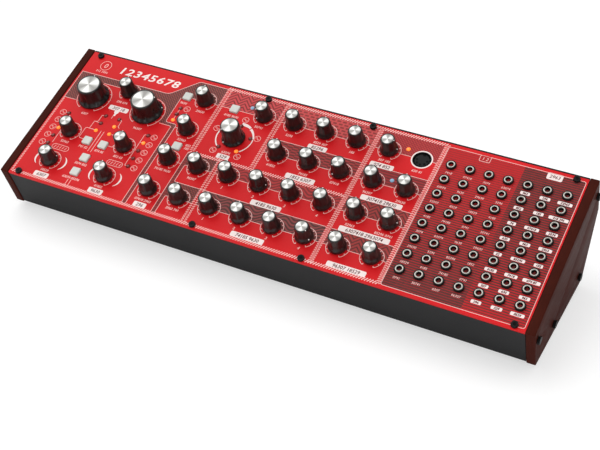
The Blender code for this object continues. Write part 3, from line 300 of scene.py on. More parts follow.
def lamp_lens(name, colour, glow, strength):
    """Moulded lens of an indicator light, which glows when it is lit."""
    material, tree = start_material(name)
    haze = noise(tree, object_place(tree, 0.0006), 1.0, 1.0)
    skin = blended(tree, spread(tree, haze, 0, 1), colour, [min(1.0, level * 1.3) for level in colour[:3]] + [1.0])
    surface(tree, skin, 0.22, haze, 0.00001, Coat_Weight=0.4, Coat_Roughness=0.1, Emission_Color=glow, Emission_Strength=strength)
    return material


RED = panel_paint()
WHITE_INK = grained("white_ink", linear(248, 190, 184), linear(253, 202, 196), **INKS)
PLATE_INK = grained("plate_ink", linear(248, 230, 226), linear(254, 240, 236), **INKS)
DARK_INK = grained("dark_ink", linear(92, 26, 28), linear(108, 32, 34), **INKS)
BLACK_PAINT = grained("black_powder_coat", linear(33, 33, 34), linear(39, 39, 40), (0.5, 0.6), 0.0006, 0.00006, Specular_IOR_Level=0.2)
KNOB_BLACK = grained("knob_black", linear(19, 15, 15), linear(27, 23, 22), (0.26, 0.34), 0.0005, 0.00002, cloud=0.01,
                     Specular_IOR_Level=0.5)
KNOB_RIM = grained("knob_pointer_white", linear(238, 238, 236), linear(248, 248, 246), (0.4, 0.5), 0.0004, 0.00001)
KEY_GREY = grained("button_grey", linear(210, 212, 205), linear(219, 221, 214), (0.36, 0.44), 0.0005, 0.00002, cloud=0.01,
                   Specular_IOR_Level=0.3)
NICKEL = grained("nickel_plate", linear(176, 173, 165), linear(198, 195, 187), (0.24, 0.34), 0.0008, 0.00001, Metallic=0.7)
BORE_BLACK = grained("bore_black", linear(8, 8, 9), linear(13, 13, 14), (0.6, 0.7), 0.0006, 0.00001, Specular_IOR_Level=0.1)


BLACK_STEEL = grained("black_steel", linear(14, 13, 13), linear(23, 22, 22), (0.36, 0.46), 0.0008, 0.00002, Specular_IOR_Level=0.14)
ALUMINIUM = grained("rail_aluminium_satin", linear(160, 162, 165), linear(184, 186, 189), (0.3, 0.42), 0.0006, 0.00002, Metallic=1.0)
RUBBER = grained("foot_rubber", linear(22, 22, 22), linear(34, 34, 34), (0.6, 0.75), 0.0008, 0.00005)
BOARD_GREEN = grained("board_green", linear(14, 52, 34), linear(24, 70, 46), (0.35, 0.45), 0.002, 0.00002, Coat_Weight=0.3)
SOCKET_BLACK = grained("socket_black", linear(18, 19, 19), linear(28, 29, 29), (0.36, 0.48), 0.0006, 0.00002, Specular_IOR_Level=0.15)
WOOD = wood_stain()
SPUN = spun_metal()
LENS_OFF = lamp_lens("lamp_lens_off", linear(112, 32, 28), linear(0, 0, 0), 0.0)
LENS_ON = lamp_lens("lamp_lens_orange", linear(255, 130, 50), linear(255, 118, 38), 0.9)
LENS_PALE = lamp_lens("lamp_lens_pale", linear(120, 150, 176), linear(160, 205, 235), 0.25)


# Shapes: a form gathers points and faces in millimetres and then goes to its place as one mesh

class Form:
    def __init__(self):
        self.points = []
        self.faces = []
        self.paints = []

    def add(self, shape, place=None, paint=0):
        points, faces = shape
        first = len(self.points)
        self.points += [place @ Vector(point) if place else Vector(point) for point in points]
        self.faces += [[first + index for index in face] for face in faces]
        self.paints += [paint] * len(faces)


def piece_from_form(name, form, place, materials, body, nodes=(), crease=35):
    """Turn a form into a finished piece that rides on a body."""
    mesh = bpy.data.meshes.new(name)
    mesh.from_pydata([place @ point for point in form.points], [], form.faces)
    mesh.polygons.foreach_set("material_index", form.paints)
    work = bmesh.new()
    work.from_mesh(mesh)
    bmesh.ops.recalc_face_normals(work, faces=work.faces)
    work.to_mesh(mesh)
    work.free()
    return piece_from_mesh(name, mesh, materials, body, nodes, crease)


def piece_from_mesh(name, mesh, materials, body, nodes=(), crease=35):
    for material in materials:
        mesh.materials.append(material)
    mesh.shade_smooth()
    mesh.set_sharp_from_angle(angle=math.radians(crease))
    piece = bpy.data.objects.new(name, mesh)
    bpy.context.scene.collection.objects.link(piece)
    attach(piece, body)
    if nodes:
        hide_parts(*nodes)
    return piece


def loft(loops):
    """Skin over loops of equally many points, closed at both ends."""
    count = len(loops[0])
    points = [point for loop in loops for point in loop]
    faces = [list(range(count)), [len(points) - count + step for step in range(count)]]
    for row in range(len(loops) - 1):
        low, high = row * count, (row + 1) * count
        faces += [(low + i, low + (i + 1) % count, high + (i + 1) % count, high + i) for i in range(count)]
    return points, faces


def prism(outline, low, high):
    return loft([[(u, v, low) for u, v in outline], [(u, v, high) for u, v in outline]])


def rounded_outline(width, depth, radius, steps=4):
    """Corners of a rectangle with rounded corners about the origin."""
    outline = []
    for quarter, (side, end) in enumerate(((1, 1), (-1, 1), (-1, -1), (1, -1))):
        for step in range(steps + 1):
            angle = math.radians(90 * (quarter + step / steps))
            u = side * (width / 2 - radius) + radius * math.cos(angle)
            v = end * (depth / 2 - radius) + radius * math.sin(angle)
            outline.append((u, v))
    return outline


def rounded_block(width, depth, radius, levels, steps=4):
    """Block of rounded outline; levels are (inset, height) from the bottom up."""
    loops = []
    for inset, height in levels:
        outline = rounded_outline(width - 2 * inset, depth - 2 * inset, max(radius - inset, 0.05), steps)
        loops.append([(u, v, height) for u, v in outline])
    return loft(loops)


def turned(profile, sides=32):
    """Solid turned about the third axis; the profile is (radius, height) from the bottom up."""
    angles = [math.tau * step / sides for step in range(sides)]
    loops = [[(radius * math.cos(a), radius * math.sin(a), height) for a in angles] for radius, height in profile]
    return loft(loops)


def stroke(path, width, low, high, closed=False):
    """Flat line of even width along a path of (u, v) points, with mitred corners."""
    count = len(path)
    left, right = [], []
    for step, (u, v) in enumerate(path):
        before = path[step - 1] if step or closed else None
        after = path[(step + 1) % count] if step < count - 1 or closed else None
        normals = []
        for a, b in ((before, (u, v)), ((u, v), after)):
            if a and b:
                length = math.hypot(b[0] - a[0], b[1] - a[1]) or 1.0
                normals.append(Vector(((a[1] - b[1]) / length, (b[0] - a[0]) / length)))
        normal = sum(normals, Vector((0, 0))).normalized()
        reach = width / 2 / max(normal.dot(normals[0]), 0.4)
        left.append((u + normal.x * reach, v + normal.y * reach))
        right.append((u - normal.x * reach, v - normal.y * reach))
    points = [(u, v, n) for n in (low, high) for side in (left, right) for u, v in side]
    lower_left, lower_right, upper_left, upper_right = 0, count, 2 * count, 3 * count
    faces = []
    for step in range(count if closed else count - 1):
        after = (step + 1) % count
        for a, b in ((upper_left, upper_right), (lower_right, lower_left), (lower_left, upper_left), (upper_right, lower_right)):
            faces.append((a + step, b + step, b + after, a + after))
    if not closed:
        for step in (0, count - 1):
            faces.append((lower_left + step, lower_right + step, upper_right + step, upper_left + step))
    return points, faces


def arc(centre, radius, start, end, steps):
    """Points on an arc; the angles are in degrees, clockwise from straight up the panel."""
    angles = [math.radians(start + (end - start) * step / steps) for step in range(steps + 1)]
    return [(centre[0] + radius * math.sin(a), centre[1] + radius * math.cos(a)) for a in angles]


def at(u, v, n=0.0, turn=0.0):
    return Matrix.Translation((u, v, n)) @ Matrix.Rotation(math.radians(turn), 4, "Z")


def lettering(text, height, thickness, weight=0.1):
    """Raised figures as points and faces, centred on the origin, a little slanted; the weight widens each stroke."""
    curve = bpy.data.curves.new("figures", "FONT")
    curve.body = text
    curve.size = height / 0.7
    curve.extrude = thickness / 2
    curve.offset = weight
    curve.resolution_u = 2
    curve.align_x = "CENTER"
    curve.shear = 0.15
    holder = bpy.data.objects.new("figures", curve)
    bpy.context.scene.collection.objects.link(holder)
    seen = holder.evaluated_get(bpy.context.evaluated_depsgraph_get())
    mesh = bpy.data.meshes.new_from_object(seen)
    shape = [(p.co.x, p.co.y - height / 2, p.co.z) for p in mesh.vertices], [tuple(f.vertices) for f in mesh.polygons]
    bpy.data.objects.remove(holder)
    bpy.data.curves.remove(curve)
    bpy.data.meshes.remove(mesh)
    return shape


# Geometry trees

def start_tree(name, inputs):
    """A geometry tree with named inputs; inputs maps a name to its kind of socket and first value."""
    tree = bpy.data.node_groups.new(name, "GeometryNodeTree")
    tree.interface.new_socket("Geometry", in_out="INPUT", socket_type="NodeSocketGeometry")
    for label, (kind, value) in inputs.items():
        socket = tree.interface.new_socket(label, in_out="INPUT", socket_type="NodeSocket" + kind)
        if value is not None:
            socket.default_value = value
    tree.interface.new_socket("Geometry", in_out="OUTPUT", socket_type="NodeSocketGeometry")
    return tree, tree.nodes.new("NodeGroupInput").outputs


def end_tree(tree, geometry, material):
    """Realize the instances, set the material and close the tree."""
    real = node(tree, "GeometryNodeRealizeInstances", {"Geometry": geometry})
    painted = node(tree, "GeometryNodeSetMaterial", {"Geometry": real.outputs[0], "Material": material})
    node(tree, "NodeGroupOutput", {"Geometry": painted.outputs[0]})
    return tree


def grown(name, tree, points, edges=(), **inputs):
    """Mesh that a tree makes from points in metres; inputs are named with _ for a space."""
    seed = bpy.data.meshes.new(name)
    seed.from_pydata([tuple(point) for point in points], list(edges), [])
    holder = bpy.data.objects.new(name, seed)
    bpy.context.scene.collection.objects.link(holder)
    modifier = holder.modifiers.new("shape", "NODES")
    modifier.node_group = tree
    sockets = {item.name: item.identifier for item in tree.interface.items_tree if item.in_out == "INPUT"}
    for label, value in inputs.items():
        modifier[sockets[label.replace("_", " ")]] = value
    seen = holder.evaluated_get(bpy.context.evaluated_depsgraph_get())
    mesh = bpy.data.meshes.new_from_object(seen)
    holder.modifiers.clear()
    bpy.data.objects.remove(holder)
    bpy.data.meshes.remove(seed)
    mesh.name = name
    return mesh


def grown_piece(name, mesh, body, nodes=(), crease=35):
    """Piece of a mesh that already has its material from its tree."""
    mesh.shade_smooth()
    mesh.set_sharp_from_angle(angle=math.radians(crease))
    piece = bpy.data.objects.new(name, mesh)
    bpy.context.scene.collection.objects.link(piece)
    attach(piece, body)
    if nodes:
        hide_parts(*nodes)
    return piece


def turned_tree():
    """A profile of (radius, 0, height) points turned about the third axis, with flutes pressed into a stretch of it."""
    inputs = {
        "Sides": ("Int", 48),
        "Flutes": ("Int", 8),
        "Flute Depth": ("Float", 0.0),
        "Flute Share": ("Float", 0.5),
        "Flute From": ("Float", 0.0),
        "Flute To": ("Float", 1.0),
        "Flute Rise": ("Float", 0.001),
        "Flute Fall": ("Float", 0.001),
        "Material": ("Material", None),
    }
    tree, given = start_tree("turned_part", inputs)
    rows = node(tree, "GeometryNodeAttributeDomainSize", {"Geometry": given["Geometry"]}).outputs["Point Count"]
    columns = node(tree, "FunctionNodeIntegerMath", {0: given["Sides"], 1: 1}, operation="ADD").outputs[0]
    grid = node(tree, "GeometryNodeMeshGrid", {"Size X": 1.0, "Size Y": 1.0, "Vertices X": columns, "Vertices Y": rows})
    stored = node(tree, "GeometryNodeStoreNamedAttribute", data_type="FLOAT2", domain="CORNER")
    stored.inputs["Name"].default_value = "UVMap"
    tree.links.new(grid.outputs["Mesh"], stored.inputs["Geometry"])
    tree.links.new(grid.outputs["UV Map"], stored.inputs["Value"])
    index = node(tree, "GeometryNodeInputIndex").outputs[0]
    row = node(tree, "FunctionNodeIntegerMath", {0: index, 1: rows}, operation="MODULO").outputs[0]
    column = node(tree, "FunctionNodeIntegerMath", {0: index, 1: rows}, operation="DIVIDE_FLOOR").outputs[0]
    place = node(tree, "GeometryNodeInputPosition").outputs[0]
    sampled = node(tree, "GeometryNodeSampleIndex", {"Geometry": given["Geometry"], "Index": row}, data_type="FLOAT_VECTOR")
    tree.links.new(place, sampled.inputs["Value"])
    split = node(tree, "ShaderNodeSeparateXYZ", {"Vector": sampled.outputs["Value"]})
    radius, height = split.outputs["X"], split.outputs["Z"]
    angle = maths(tree, "DIVIDE", maths(tree, "MULTIPLY", column, math.tau), given["Sides"])
    wave = maths(tree, "COSINE", maths(tree, "MULTIPLY", angle, given["Flutes"]))
    hollow = node(tree, "ShaderNodeMapRange", {"Value": wave, "From Max": 1.0, "To Min": 0.0, "To Max": 1.0}, interpolation_type="SMOOTHSTEP")
    share = maths(tree, "SUBTRACT", 1.0, maths(tree, "MULTIPLY", given["Flute Share"], 2.0))
    tree.links.new(share, hollow.inputs["From Min"])
    rise = maths(tree, "DIVIDE", maths(tree, "SUBTRACT", height, given["Flute From"]), given["Flute Rise"])
    fall = maths(tree, "DIVIDE", maths(tree, "SUBTRACT", given["Flute To"], height), given["Flute Fall"])
    reach = node(tree, "ShaderNodeClamp", {"Value": maths(tree, "MINIMUM", rise, fall)}).outputs[0]
    cut = maths(tree, "MULTIPLY", maths(tree, "MULTIPLY", hollow.outputs["Result"], reach), given["Flute Depth"])
    shrunk = maths(tree, "SUBTRACT", radius, cut)
    values = {
        "X": maths(tree, "MULTIPLY", shrunk, maths(tree, "COSINE", angle)),
        "Y": maths(tree, "MULTIPLY", shrunk, maths(tree, "SINE", angle)),
        "Z": height,
    }
    spot = node(tree, "ShaderNodeCombineXYZ", values).outputs[0]
    moved = node(tree, "GeometryNodeSetPosition", {"Geometry": stored.outputs[0], "Position": spot})
    merged = node(tree, "GeometryNodeMergeByDistance", {"Geometry": moved.outputs[0], "Distance": 0.000001})
    return end_tree(tree, merged.outputs[0], given["Material"])


def rings_tree():
    """A round-edged ring standing on every point."""
    inputs = {
        "Inner Radius": ("Float", 0.002),
        "Outer Radius": ("Float", 0.004),
        "Base": ("Float", 0.0),
        "Height": ("Float", 0.002),
        "Edge": ("Float", 0.0002),
        "Sides": ("Int", 24),
        "Turn": ("Vector", (0, 0, 0)),
        "Material": ("Material", None),
    }
    tree, given = start_tree("rings_on_points", inputs)
    inner, outer, height = given["Inner Radius"], given["Outer Radius"], given["Height"]
    middle = maths(tree, "MULTIPLY", maths(tree, "ADD", inner, outer), 0.5)
    circle = node(tree, "GeometryNodeCurvePrimitiveCircle", {"Resolution": given["Sides"], "Radius": middle})
    upright = node(tree, "GeometryNodeSetCurveNormal", {"Curve": circle.outputs[0]}, mode="Z_UP")
    wall = {"Width": maths(tree, "SUBTRACT", outer, inner), "Height": height}
    outline = node(tree, "GeometryNodeCurvePrimitiveQuadrilateral", wall)
    softened = node(tree, "GeometryNodeFilletCurve", {"Curve": outline.outputs[0], "Count": 2, "Radius": given["Edge"]}, mode="POLY")
    ring = node(tree, "GeometryNodeCurveToMesh", {"Curve": upright.outputs[0], "Profile Curve": softened.outputs[0]})
    lift = maths(tree, "ADD", given["Base"], maths(tree, "MULTIPLY", height, 0.5))
    rise = node(tree, "ShaderNodeCombineXYZ", {"Z": lift})
    standing = node(tree, "GeometryNodeTransform", {"Geometry": ring.outputs[0], "Translation": rise.outputs[0]})
    values = {"Points": given["Geometry"], "Instance": standing.outputs[0], "Rotation": given["Turn"]}
    placed = node(tree, "GeometryNodeInstanceOnPoints", values)
    return end_tree(tree, placed.outputs[0], given["Material"])


def domes_tree():
    """A low dome on every point."""
    inputs = {
        "Radius": ("Float", 0.0015),
        "Rise": ("Float", 0.0006),
        "Sides": ("Int", 20),
        "Turn": ("Vector", (0, 0, 0)),
        "Material": ("Material", None),
    }
    tree, given = start_tree("domes_on_points", inputs)
    ball = node(tree, "GeometryNodeMeshUVSphere", {"Segments": given["Sides"], "Rings": 10, "Radius": 1.0})
    size = node(tree, "ShaderNodeCombineXYZ", {"X": given["Radius"], "Y": given["Radius"], "Z": given["Rise"]})
    low = node(tree, "GeometryNodeTransform", {"Geometry": ball.outputs[0], "Scale": size.outputs[0]})
    values = {"Points": given["Geometry"], "Instance": low.outputs[0], "Rotation": given["Turn"]}
    placed = node(tree, "GeometryNodeInstanceOnPoints", values)
    return end_tree(tree, placed.outputs[0], given["Material"])


def dashes_tree():
    """Slanted dashes at an even pitch along paths."""
    inputs = {
        "Pitch": ("Float", 0.0014),
        "Length": ("Float", 0.002),
        "Width": ("Float", 0.0004),
        "Thickness": ("Float", 0.00006),
        "Slant": ("Float", 0.9),
        "Turn": ("Vector", (0, 0, 0)),
        "Material": ("Material", None),
    }
    tree, given = start_tree("dashes_on_paths", inputs)
    paths = node(tree, "GeometryNodeMeshToCurve", {"Mesh": given["Geometry"]})
    spots = node(tree, "GeometryNodeCurveToPoints", {"Curve": paths.outputs[0], "Length": given["Pitch"]}, mode="LENGTH")
    size = node(tree, "ShaderNodeCombineXYZ", {"X": given["Length"], "Y": given["Width"], "Z": given["Thickness"]})
    bar = node(tree, "GeometryNodeMeshCube", {"Size": size.outputs[0]})
    slant = node(tree, "ShaderNodeCombineXYZ", {"Z": given["Slant"]})
    leaning = node(tree, "GeometryNodeTransform", {"Geometry": bar.outputs[0], "Rotation": slant.outputs[0]})
    values = {"Points": spots.outputs["Points"], "Instance": leaning.outputs[0], "Rotation": given["Turn"]}
    placed = node(tree, "GeometryNodeInstanceOnPoints", values)
    return end_tree(tree, placed.outputs[0], given["Material"])


def scales_tree():
    """A dial scale about every point: an arc, with ticks inside it."""
    inputs = {
        "Radius": ("Float", 0.0083),
        "Line": ("Float", 0.0006),
        "Ticks": ("Int", 11),
        "Tick Length": ("Float", 0.0016),
        "Tick Width": ("Float", 0.0006),
        "Thickness": ("Float", 0.00006),
        "Sweep": ("Float", math.radians(300)),
        "Turn": ("Vector", (0, 0, 0)),
        "Material": ("Material", None),
    }
    tree, given = start_tree("dial_scales", inputs)
    start = maths(tree, "SUBTRACT", math.pi / 2, maths(tree, "MULTIPLY", given["Sweep"], 0.5))
    angles = {"Radius": given["Radius"], "Start Angle": start, "Sweep Angle": given["Sweep"]}
    path = node(tree, "GeometryNodeCurveArc", {"Resolution": 49, **angles})
    upright = node(tree, "GeometryNodeSetCurveNormal", {"Curve": path.outputs[0]}, mode="Z_UP")
    outline = node(tree, "GeometryNodeCurvePrimitiveQuadrilateral", {"Width": given["Line"], "Height": given["Thickness"]})
    profile = {"Curve": upright.outputs[0], "Profile Curve": outline.outputs[0], "Fill Caps": True}
    line = node(tree, "GeometryNodeCurveToMesh", profile)
    inset = maths(tree, "SUBTRACT", given["Radius"], maths(tree, "MULTIPLY", given["Tick Length"], 0.5))
    inner = node(tree, "GeometryNodeCurveArc", {"Resolution": given["Ticks"], **angles, "Radius": inset})
    spots = node(tree, "GeometryNodeCurveToPoints", {"Curve": inner.outputs[0]}, mode="EVALUATED")
    size = {"X": given["Tick Length"], "Y": given["Tick Width"], "Z": given["Thickness"]}
    bar = node(tree, "GeometryNodeMeshCube", {"Size": node(tree, "ShaderNodeCombineXYZ", size).outputs[0]})
    place = node(tree, "GeometryNodeInputPosition").outputs[0]
    outward = node(tree, "FunctionNodeAlignRotationToVector", {"Vector": place}, axis="X", pivot_axis="Z")
    ticks = {"Points": spots.outputs["Points"], "Instance": bar.outputs[0], "Rotation": outward.outputs[0]}
    marked = node(tree, "GeometryNodeInstanceOnPoints", ticks)
    joined = node(tree, "GeometryNodeJoinGeometry", {"Geometry": line.outputs[0]})
    tree.links.new(marked.outputs[0], joined.inputs["Geometry"])
    values = {"Points": given["Geometry"], "Instance": joined.outputs[0], "Rotation": given["Turn"]}
    placed = node(tree, "GeometryNodeInstanceOnPoints", values)
    return end_tree(tree, placed.outputs[0], given["Material"])


TURNED = turned_tree()
RINGS = rings_tree()
DOMES = domes_tree()
DASHES = dashes_tree()
SCALES = scales_tree()
PANEL_TURN = (TILT, 0.0, 0.0)


def on_panel(spots, n=0.0):
    return [PANEL @ Vector((u, v, n)) for u, v in spots]


# Knobs

def knob_profile(skirt, edge, base, flare, top, height, cap, lift=0.6, recess=0.25):
    """Profile of a knob from its axis underneath, out round the skirt, and up to the recess of its cap."""
    reach, climb = skirt - base, flare - edge
    wall = [(base + (top - base) * step / 5, flare + (height - 0.9 - flare) * step / 5) for step in range(6)]
    return [
        (0, lift), (skirt - 0.5, lift), (skirt - 0.12, lift + 0.1), (skirt, lift + 0.4), (skirt, edge),
        (base + reach * 0.86, edge + climb * 0.22), (base + reach * 0.48, edge + climb * 0.5),
        (base + reach * 0.16, edge + climb * 0.78), *wall,
        (top - 0.08, height - 0.5), (top - 0.25, height - 0.18), (top - 0.55, height),
        (cap + 0.1, height), (cap, height - 0.08), (cap, height - recess), (0, height - recess),
    ]


def cap_profile(radius, base, height):
    return [(0, base), (radius, base), (radius, height - 0.12), (radius - 0.05, height - 0.03), (radius - 0.15, height), (radius * 0.5, height + 0.02), (0, height + 0.03)]


KNOB_KINDS = {
    "small": {"skirt": 6.75, "edge": 2.6, "base": 5.8, "flare": 5.6, "top": 5.3, "height": 13.0, "cap": 4.15},
    "large": {"skirt": 12.6, "edge": 1.6, "base": 10.7, "flare": 4.8, "top": 9.7, "height": 15.2, "cap": 8.3},
    "shape": {"skirt": 9.0, "edge": 1.6, "base": 7.8, "flare": 3.9, "top": 7.2, "height": 15.9, "cap": 6.15},
}
FLUTES = {
    "small": {"Flute_Depth": 0.3 * MM, "Flute_Share": 0.92, "Flute_From": 2.4 * MM, "Flute_To": 12.9 * MM,
              "Flute_Rise": 1.8 * MM, "Flute_Fall": 0.6 * MM},
    "large": {"Flute_Depth": 1.1 * MM, "Flute_Share": 0.4, "Flute_From": 1.3 * MM, "Flute_To": 13.5 * MM,
              "Flute_Rise": 1.6 * MM, "Flute_Fall": 8.0 * MM},
    "shape": {"Flute_Depth": 0.8 * MM, "Flute_Share": 0.4, "Flute_From": 1.3 * MM, "Flute_To": 14.0 * MM,
              "Flute_Rise": 1.5 * MM, "Flute_Fall": 8.5 * MM},
}


def knob_meshes(kind):
    """Body and cap of one kind of knob, in metres about its own axis."""
    size = KNOB_KINDS[kind]
    outer = [(r * MM, 0, h * MM) for r, h in knob_profile(**size)]
    body = grown(kind + "_knob_body", TURNED, outer, Sides=96, Material=KNOB_BLACK, **FLUTES[kind])
    disc = [(r * MM, 0, h * MM) for r, h in cap_profile(size["cap"] - 0.02, size["height"] - 0.3, size["height"] + 0.02)]
    cap = grown(kind + "_knob_cap", TURNED, disc, Sides=48, Material=SPUN)
    return body, cap


def pointer(size):
    """White marks towards the second axis: one on the rim round the cap and one on the slope of the skirt."""
    marks = Form()
    skirt, base, flare, edge, height = size["skirt"], size["base"], size["flare"], size["edge"], size["height"]
    inner, outer = size["cap"] + 0.35, size["top"] - 0.15
    rim = rounded_block(0.7, outer - inner, 0.2, ((0, height - 0.4), (0, height + 0.03)), 3)
    marks.add(rim, at(0, (inner + outer) / 2))
    low, high = (skirt - (skirt - base) * 0.14, edge + (flare - edge) * 0.22), (skirt - (skirt - base) * 0.52, (edge + flare) / 2)
    slope = math.atan2(low[1] - high[1], low[0] - high[0])
    middle = at(0, (low[0] + high[0]) / 2, (low[1] + high[1]) / 2) @ Matrix.Rotation(slope, 4, "X")
    marks.add(rounded_block(0.8, 0.9, 0.25, ((0, -0.3), (0, 0.06)), 3), middle)
    return marks


def make_knobs():
    meshes = {kind: knob_meshes(kind) for kind in KNOB_KINDS}
    for name, (u, v, angle) in KNOBS.items():
        kind = "shape" if name == "lfo_shape_knob" else "large" if "tune" in name else "small"
        stem = name[:-len("_knob")]
        body, cap = meshes[kind]
        # The caps keep one turn, so their painted highlight fans face the same way on every knob
        for mesh, part, turn, slot, nodes in ((body, "body", -angle, "knob_plastic", (name,)), (cap, "cap", 0, "knob_cap", ())):
            copy = mesh.copy()
            copy.transform(PANEL @ at(u, v, 0, turn) @ Matrix.Scale(1 / MM, 4))
            grown_piece(f"{stem}_knob_{part}", copy, name, nodes, 40)
        piece_from_form(stem + "_knob_pointer", pointer(KNOB_KINDS[kind]), PANEL @ at(u, v, 0, -angle), [KNOB_RIM], name)


# Buttons and lights

def make_buttons():
    levels = ((0.1, -2.3), (0.0, -2.2), (0.0, 1.0), (0.08, 1.2), (0.25, 1.33), (0.6, 1.39), (1.6, 1.4), (2.8, 1.4))
    for name, (u, v) in BUTTONS.items():
        form = Form()
        form.add(rounded_block(6.8, 6.8, 0.9, levels, 5), at(u, v))
        form.add(rounded_block(8.6, 8.6, 0.6, ((0, -3.3), (0, -2.3)), 3), at(u, v))
        form.add(rounded_block(3.0, 3.0, 0.4, ((0, -7.4), (0, -3.2)), 3), at(u, v))
        piece_from_form(name + "_cap", form, PANEL, [KEY_GREY], name, (name,))


def make_lights():
    for name, spots, material in (("lights_dark", LIGHTS_OFF, LENS_OFF), ("lights_orange", LIGHTS_ON, LENS_ON), ("lights_pale", LIGHTS_PALE, LENS_PALE)):
        mesh = grown(name, DOMES, on_panel(spots, 0.15), Radius=1.6 * MM, Rise=0.8 * MM, Sides=20, Turn=PANEL_TURN, Material=material)
        grown_piece(name, mesh, "case")


# Sockets

def make_patch_sockets():
    board_low, board_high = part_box("patch_board")
    form = Form()
    middle_u = (JACK_COLUMNS[0] + JACK_COLUMNS[-1]) / 2
    middle_v = (JACK_ROWS[0] + JACK_ROWS[-1]) / 2
    span_u = (board_high.x - board_low.x) / MM
    span_v = JACK_ROWS[-1] - JACK_ROWS[0] + 12
    form.add(rounded_block(span_u, span_v, 1.0, ((0, -13.6), (0, -12.0)), 3), at(middle_u, middle_v))
    for u, v in JACKS:
        form.add(rounded_block(9.0, 9.0, 0.5, ((0, -12.1), (0, -2.5), (0.3, -2.3)), 2), at(u, v), 1)
        form.add(turned(((1.7, -6.0), (1.7, -1.2), (0.4, -1.2)), 16), at(u, v), 2)
    piece_from_form("patch_board_bodies", form, PANEL, [BOARD_GREEN, SOCKET_BLACK, BORE_BLACK], "case", ("patch_board",))
    spots = on_panel(JACKS)
    for name, material, inner, outer, base, height, edge, slot in (
        ("patch_nuts", BLACK_STEEL, 2.85, 3.8, -0.05, 1.7, 0.25, "jack_metal"),
        ("patch_barrels", NICKEL, 1.92, 2.95, -2.4, 4.4, 0.3, "jack_metal"),
        ("patch_bores", BORE_BLACK, 1.6, 1.98, -2.4, 4.15, 0.1, "jack_metal"),
    ):
        sizes = {"Inner_Radius": inner * MM, "Outer_Radius": outer * MM, "Base": base * MM, "Height": height * MM}
        mesh = grown(name, RINGS, spots, Edge=edge * MM, Sides=32, Turn=PANEL_TURN, Material=material, **sizes)
        grown_piece(name, mesh, "case")


def make_din_socket():
    form = Form()
    u, v = DIN
    face = ((6.9, -12.0), (6.9, -0.1), (6.8, 0.08), (6.4, 0.12), (6.25, -0.1), (6.2, -6.0), (5.5, -6.0), (5.5, -1.0), (5.3, -0.8), (0.3, -0.8))
    form.add(turned(face, 64), at(u, v))
    form.add(rounded_block(17.0, 15.5, 0.8, ((0, -17.0), (0, -2.4)), 3), at(u, v))
    form.add(rounded_block(2.4, 1.3, 0.3, ((0, -3.0), (0, -0.76)), 3), at(u, v + 4.6), 1)
    turns = [math.radians(step * 45) for step in range(-2, 3)]
    holes = [(u + 3.9 * math.sin(turn), v - 3.9 * math.cos(turn)) for turn in turns]
    for hole in holes:
        form.add(turned(((0.85, -3.0), (0.85, -0.79), (0.1, -0.79)), 16), at(*hole), 1)
    piece_from_form("midi_socket_body", form, PANEL, [SOCKET_BLACK, BORE_BLACK], "case", ("midi_in_socket",))
    sizes = {"Inner_Radius": 0.8 * MM, "Outer_Radius": 1.05 * MM, "Base": -1.0 * MM, "Height": 0.3 * MM}
    rims = grown("midi_socket_rims", RINGS, on_panel(holes), Edge=0.08 * MM, Sides=16, Turn=PANEL_TURN, Material=SOCKET_BLACK, **sizes)
    grown_piece("midi_socket_rims", rims, "case")


# Case

def softened(name, node_names, width, segments, material, body, slot, angle=30):
    """Copy of a CAD node with its edges rounded, which takes the node's place."""
    form = bmesh.new()
    form.from_mesh(frame["nodes"][node_names].data)
    bmesh.ops.remove_doubles(form, verts=form.verts, dist=0.000002)
    bmesh.ops.dissolve_limit(form, angle_limit=math.radians(1), verts=form.verts, edges=form.edges)
    sharp = [edge for edge in form.edges if len(edge.link_faces) == 2 and edge.calc_face_angle(0) > math.radians(angle)]
    bmesh.ops.bevel(form, geom=sharp, offset=width * MM, segments=segments, profile=0.5, affect="EDGES", clamp_overlap=True)
    mesh = bpy.data.meshes.new(name)
    form.to_mesh(mesh)
    form.free()
    return piece_from_mesh(name, mesh, [material], body, (node_names,), 40)


def make_case():
    for side in ("left", "right"):
        softened(side + "_cheek_board", side + "_cheek", 0.8, 3, WOOD, "case", "cheek_wood")
    for name, material in (
        ("base_tray", BLACK_PAINT), ("left_end_plate", BLACK_STEEL), ("right_end_plate", BLACK_STEEL), ("front_rail", BLACK_STEEL),
        ("rear_rail", BLACK_STEEL), ("front_left_foot", RUBBER), ("front_right_foot", RUBBER), ("rear_left_foot", RUBBER),
        ("rear_right_foot", RUBBER), ("control_board", BOARD_GREEN), ("rear_connector_board", SOCKET_BLACK),
        ("power_rocker", SOCKET_BLACK), ("control_panel", RED),
    ):
        for slot in frame["nodes"][name].material_slots:
            slot.material = material
    heads = Form()
    for u, v in SCREWS:
        heads.add(turned(((2.55, -0.1), (2.55, 0.8), (2.4, 1.3), (2.0, 1.68), (1.3, 1.82)), 32), at(u, v))
        heads.add(turned(((1.3, 1.82), (1.25, 0.9), (0.2, 0.8)), 6), at(u, v))
    piece_from_form("panel_screw_heads", heads, PANEL, [BLACK_STEEL], "case")


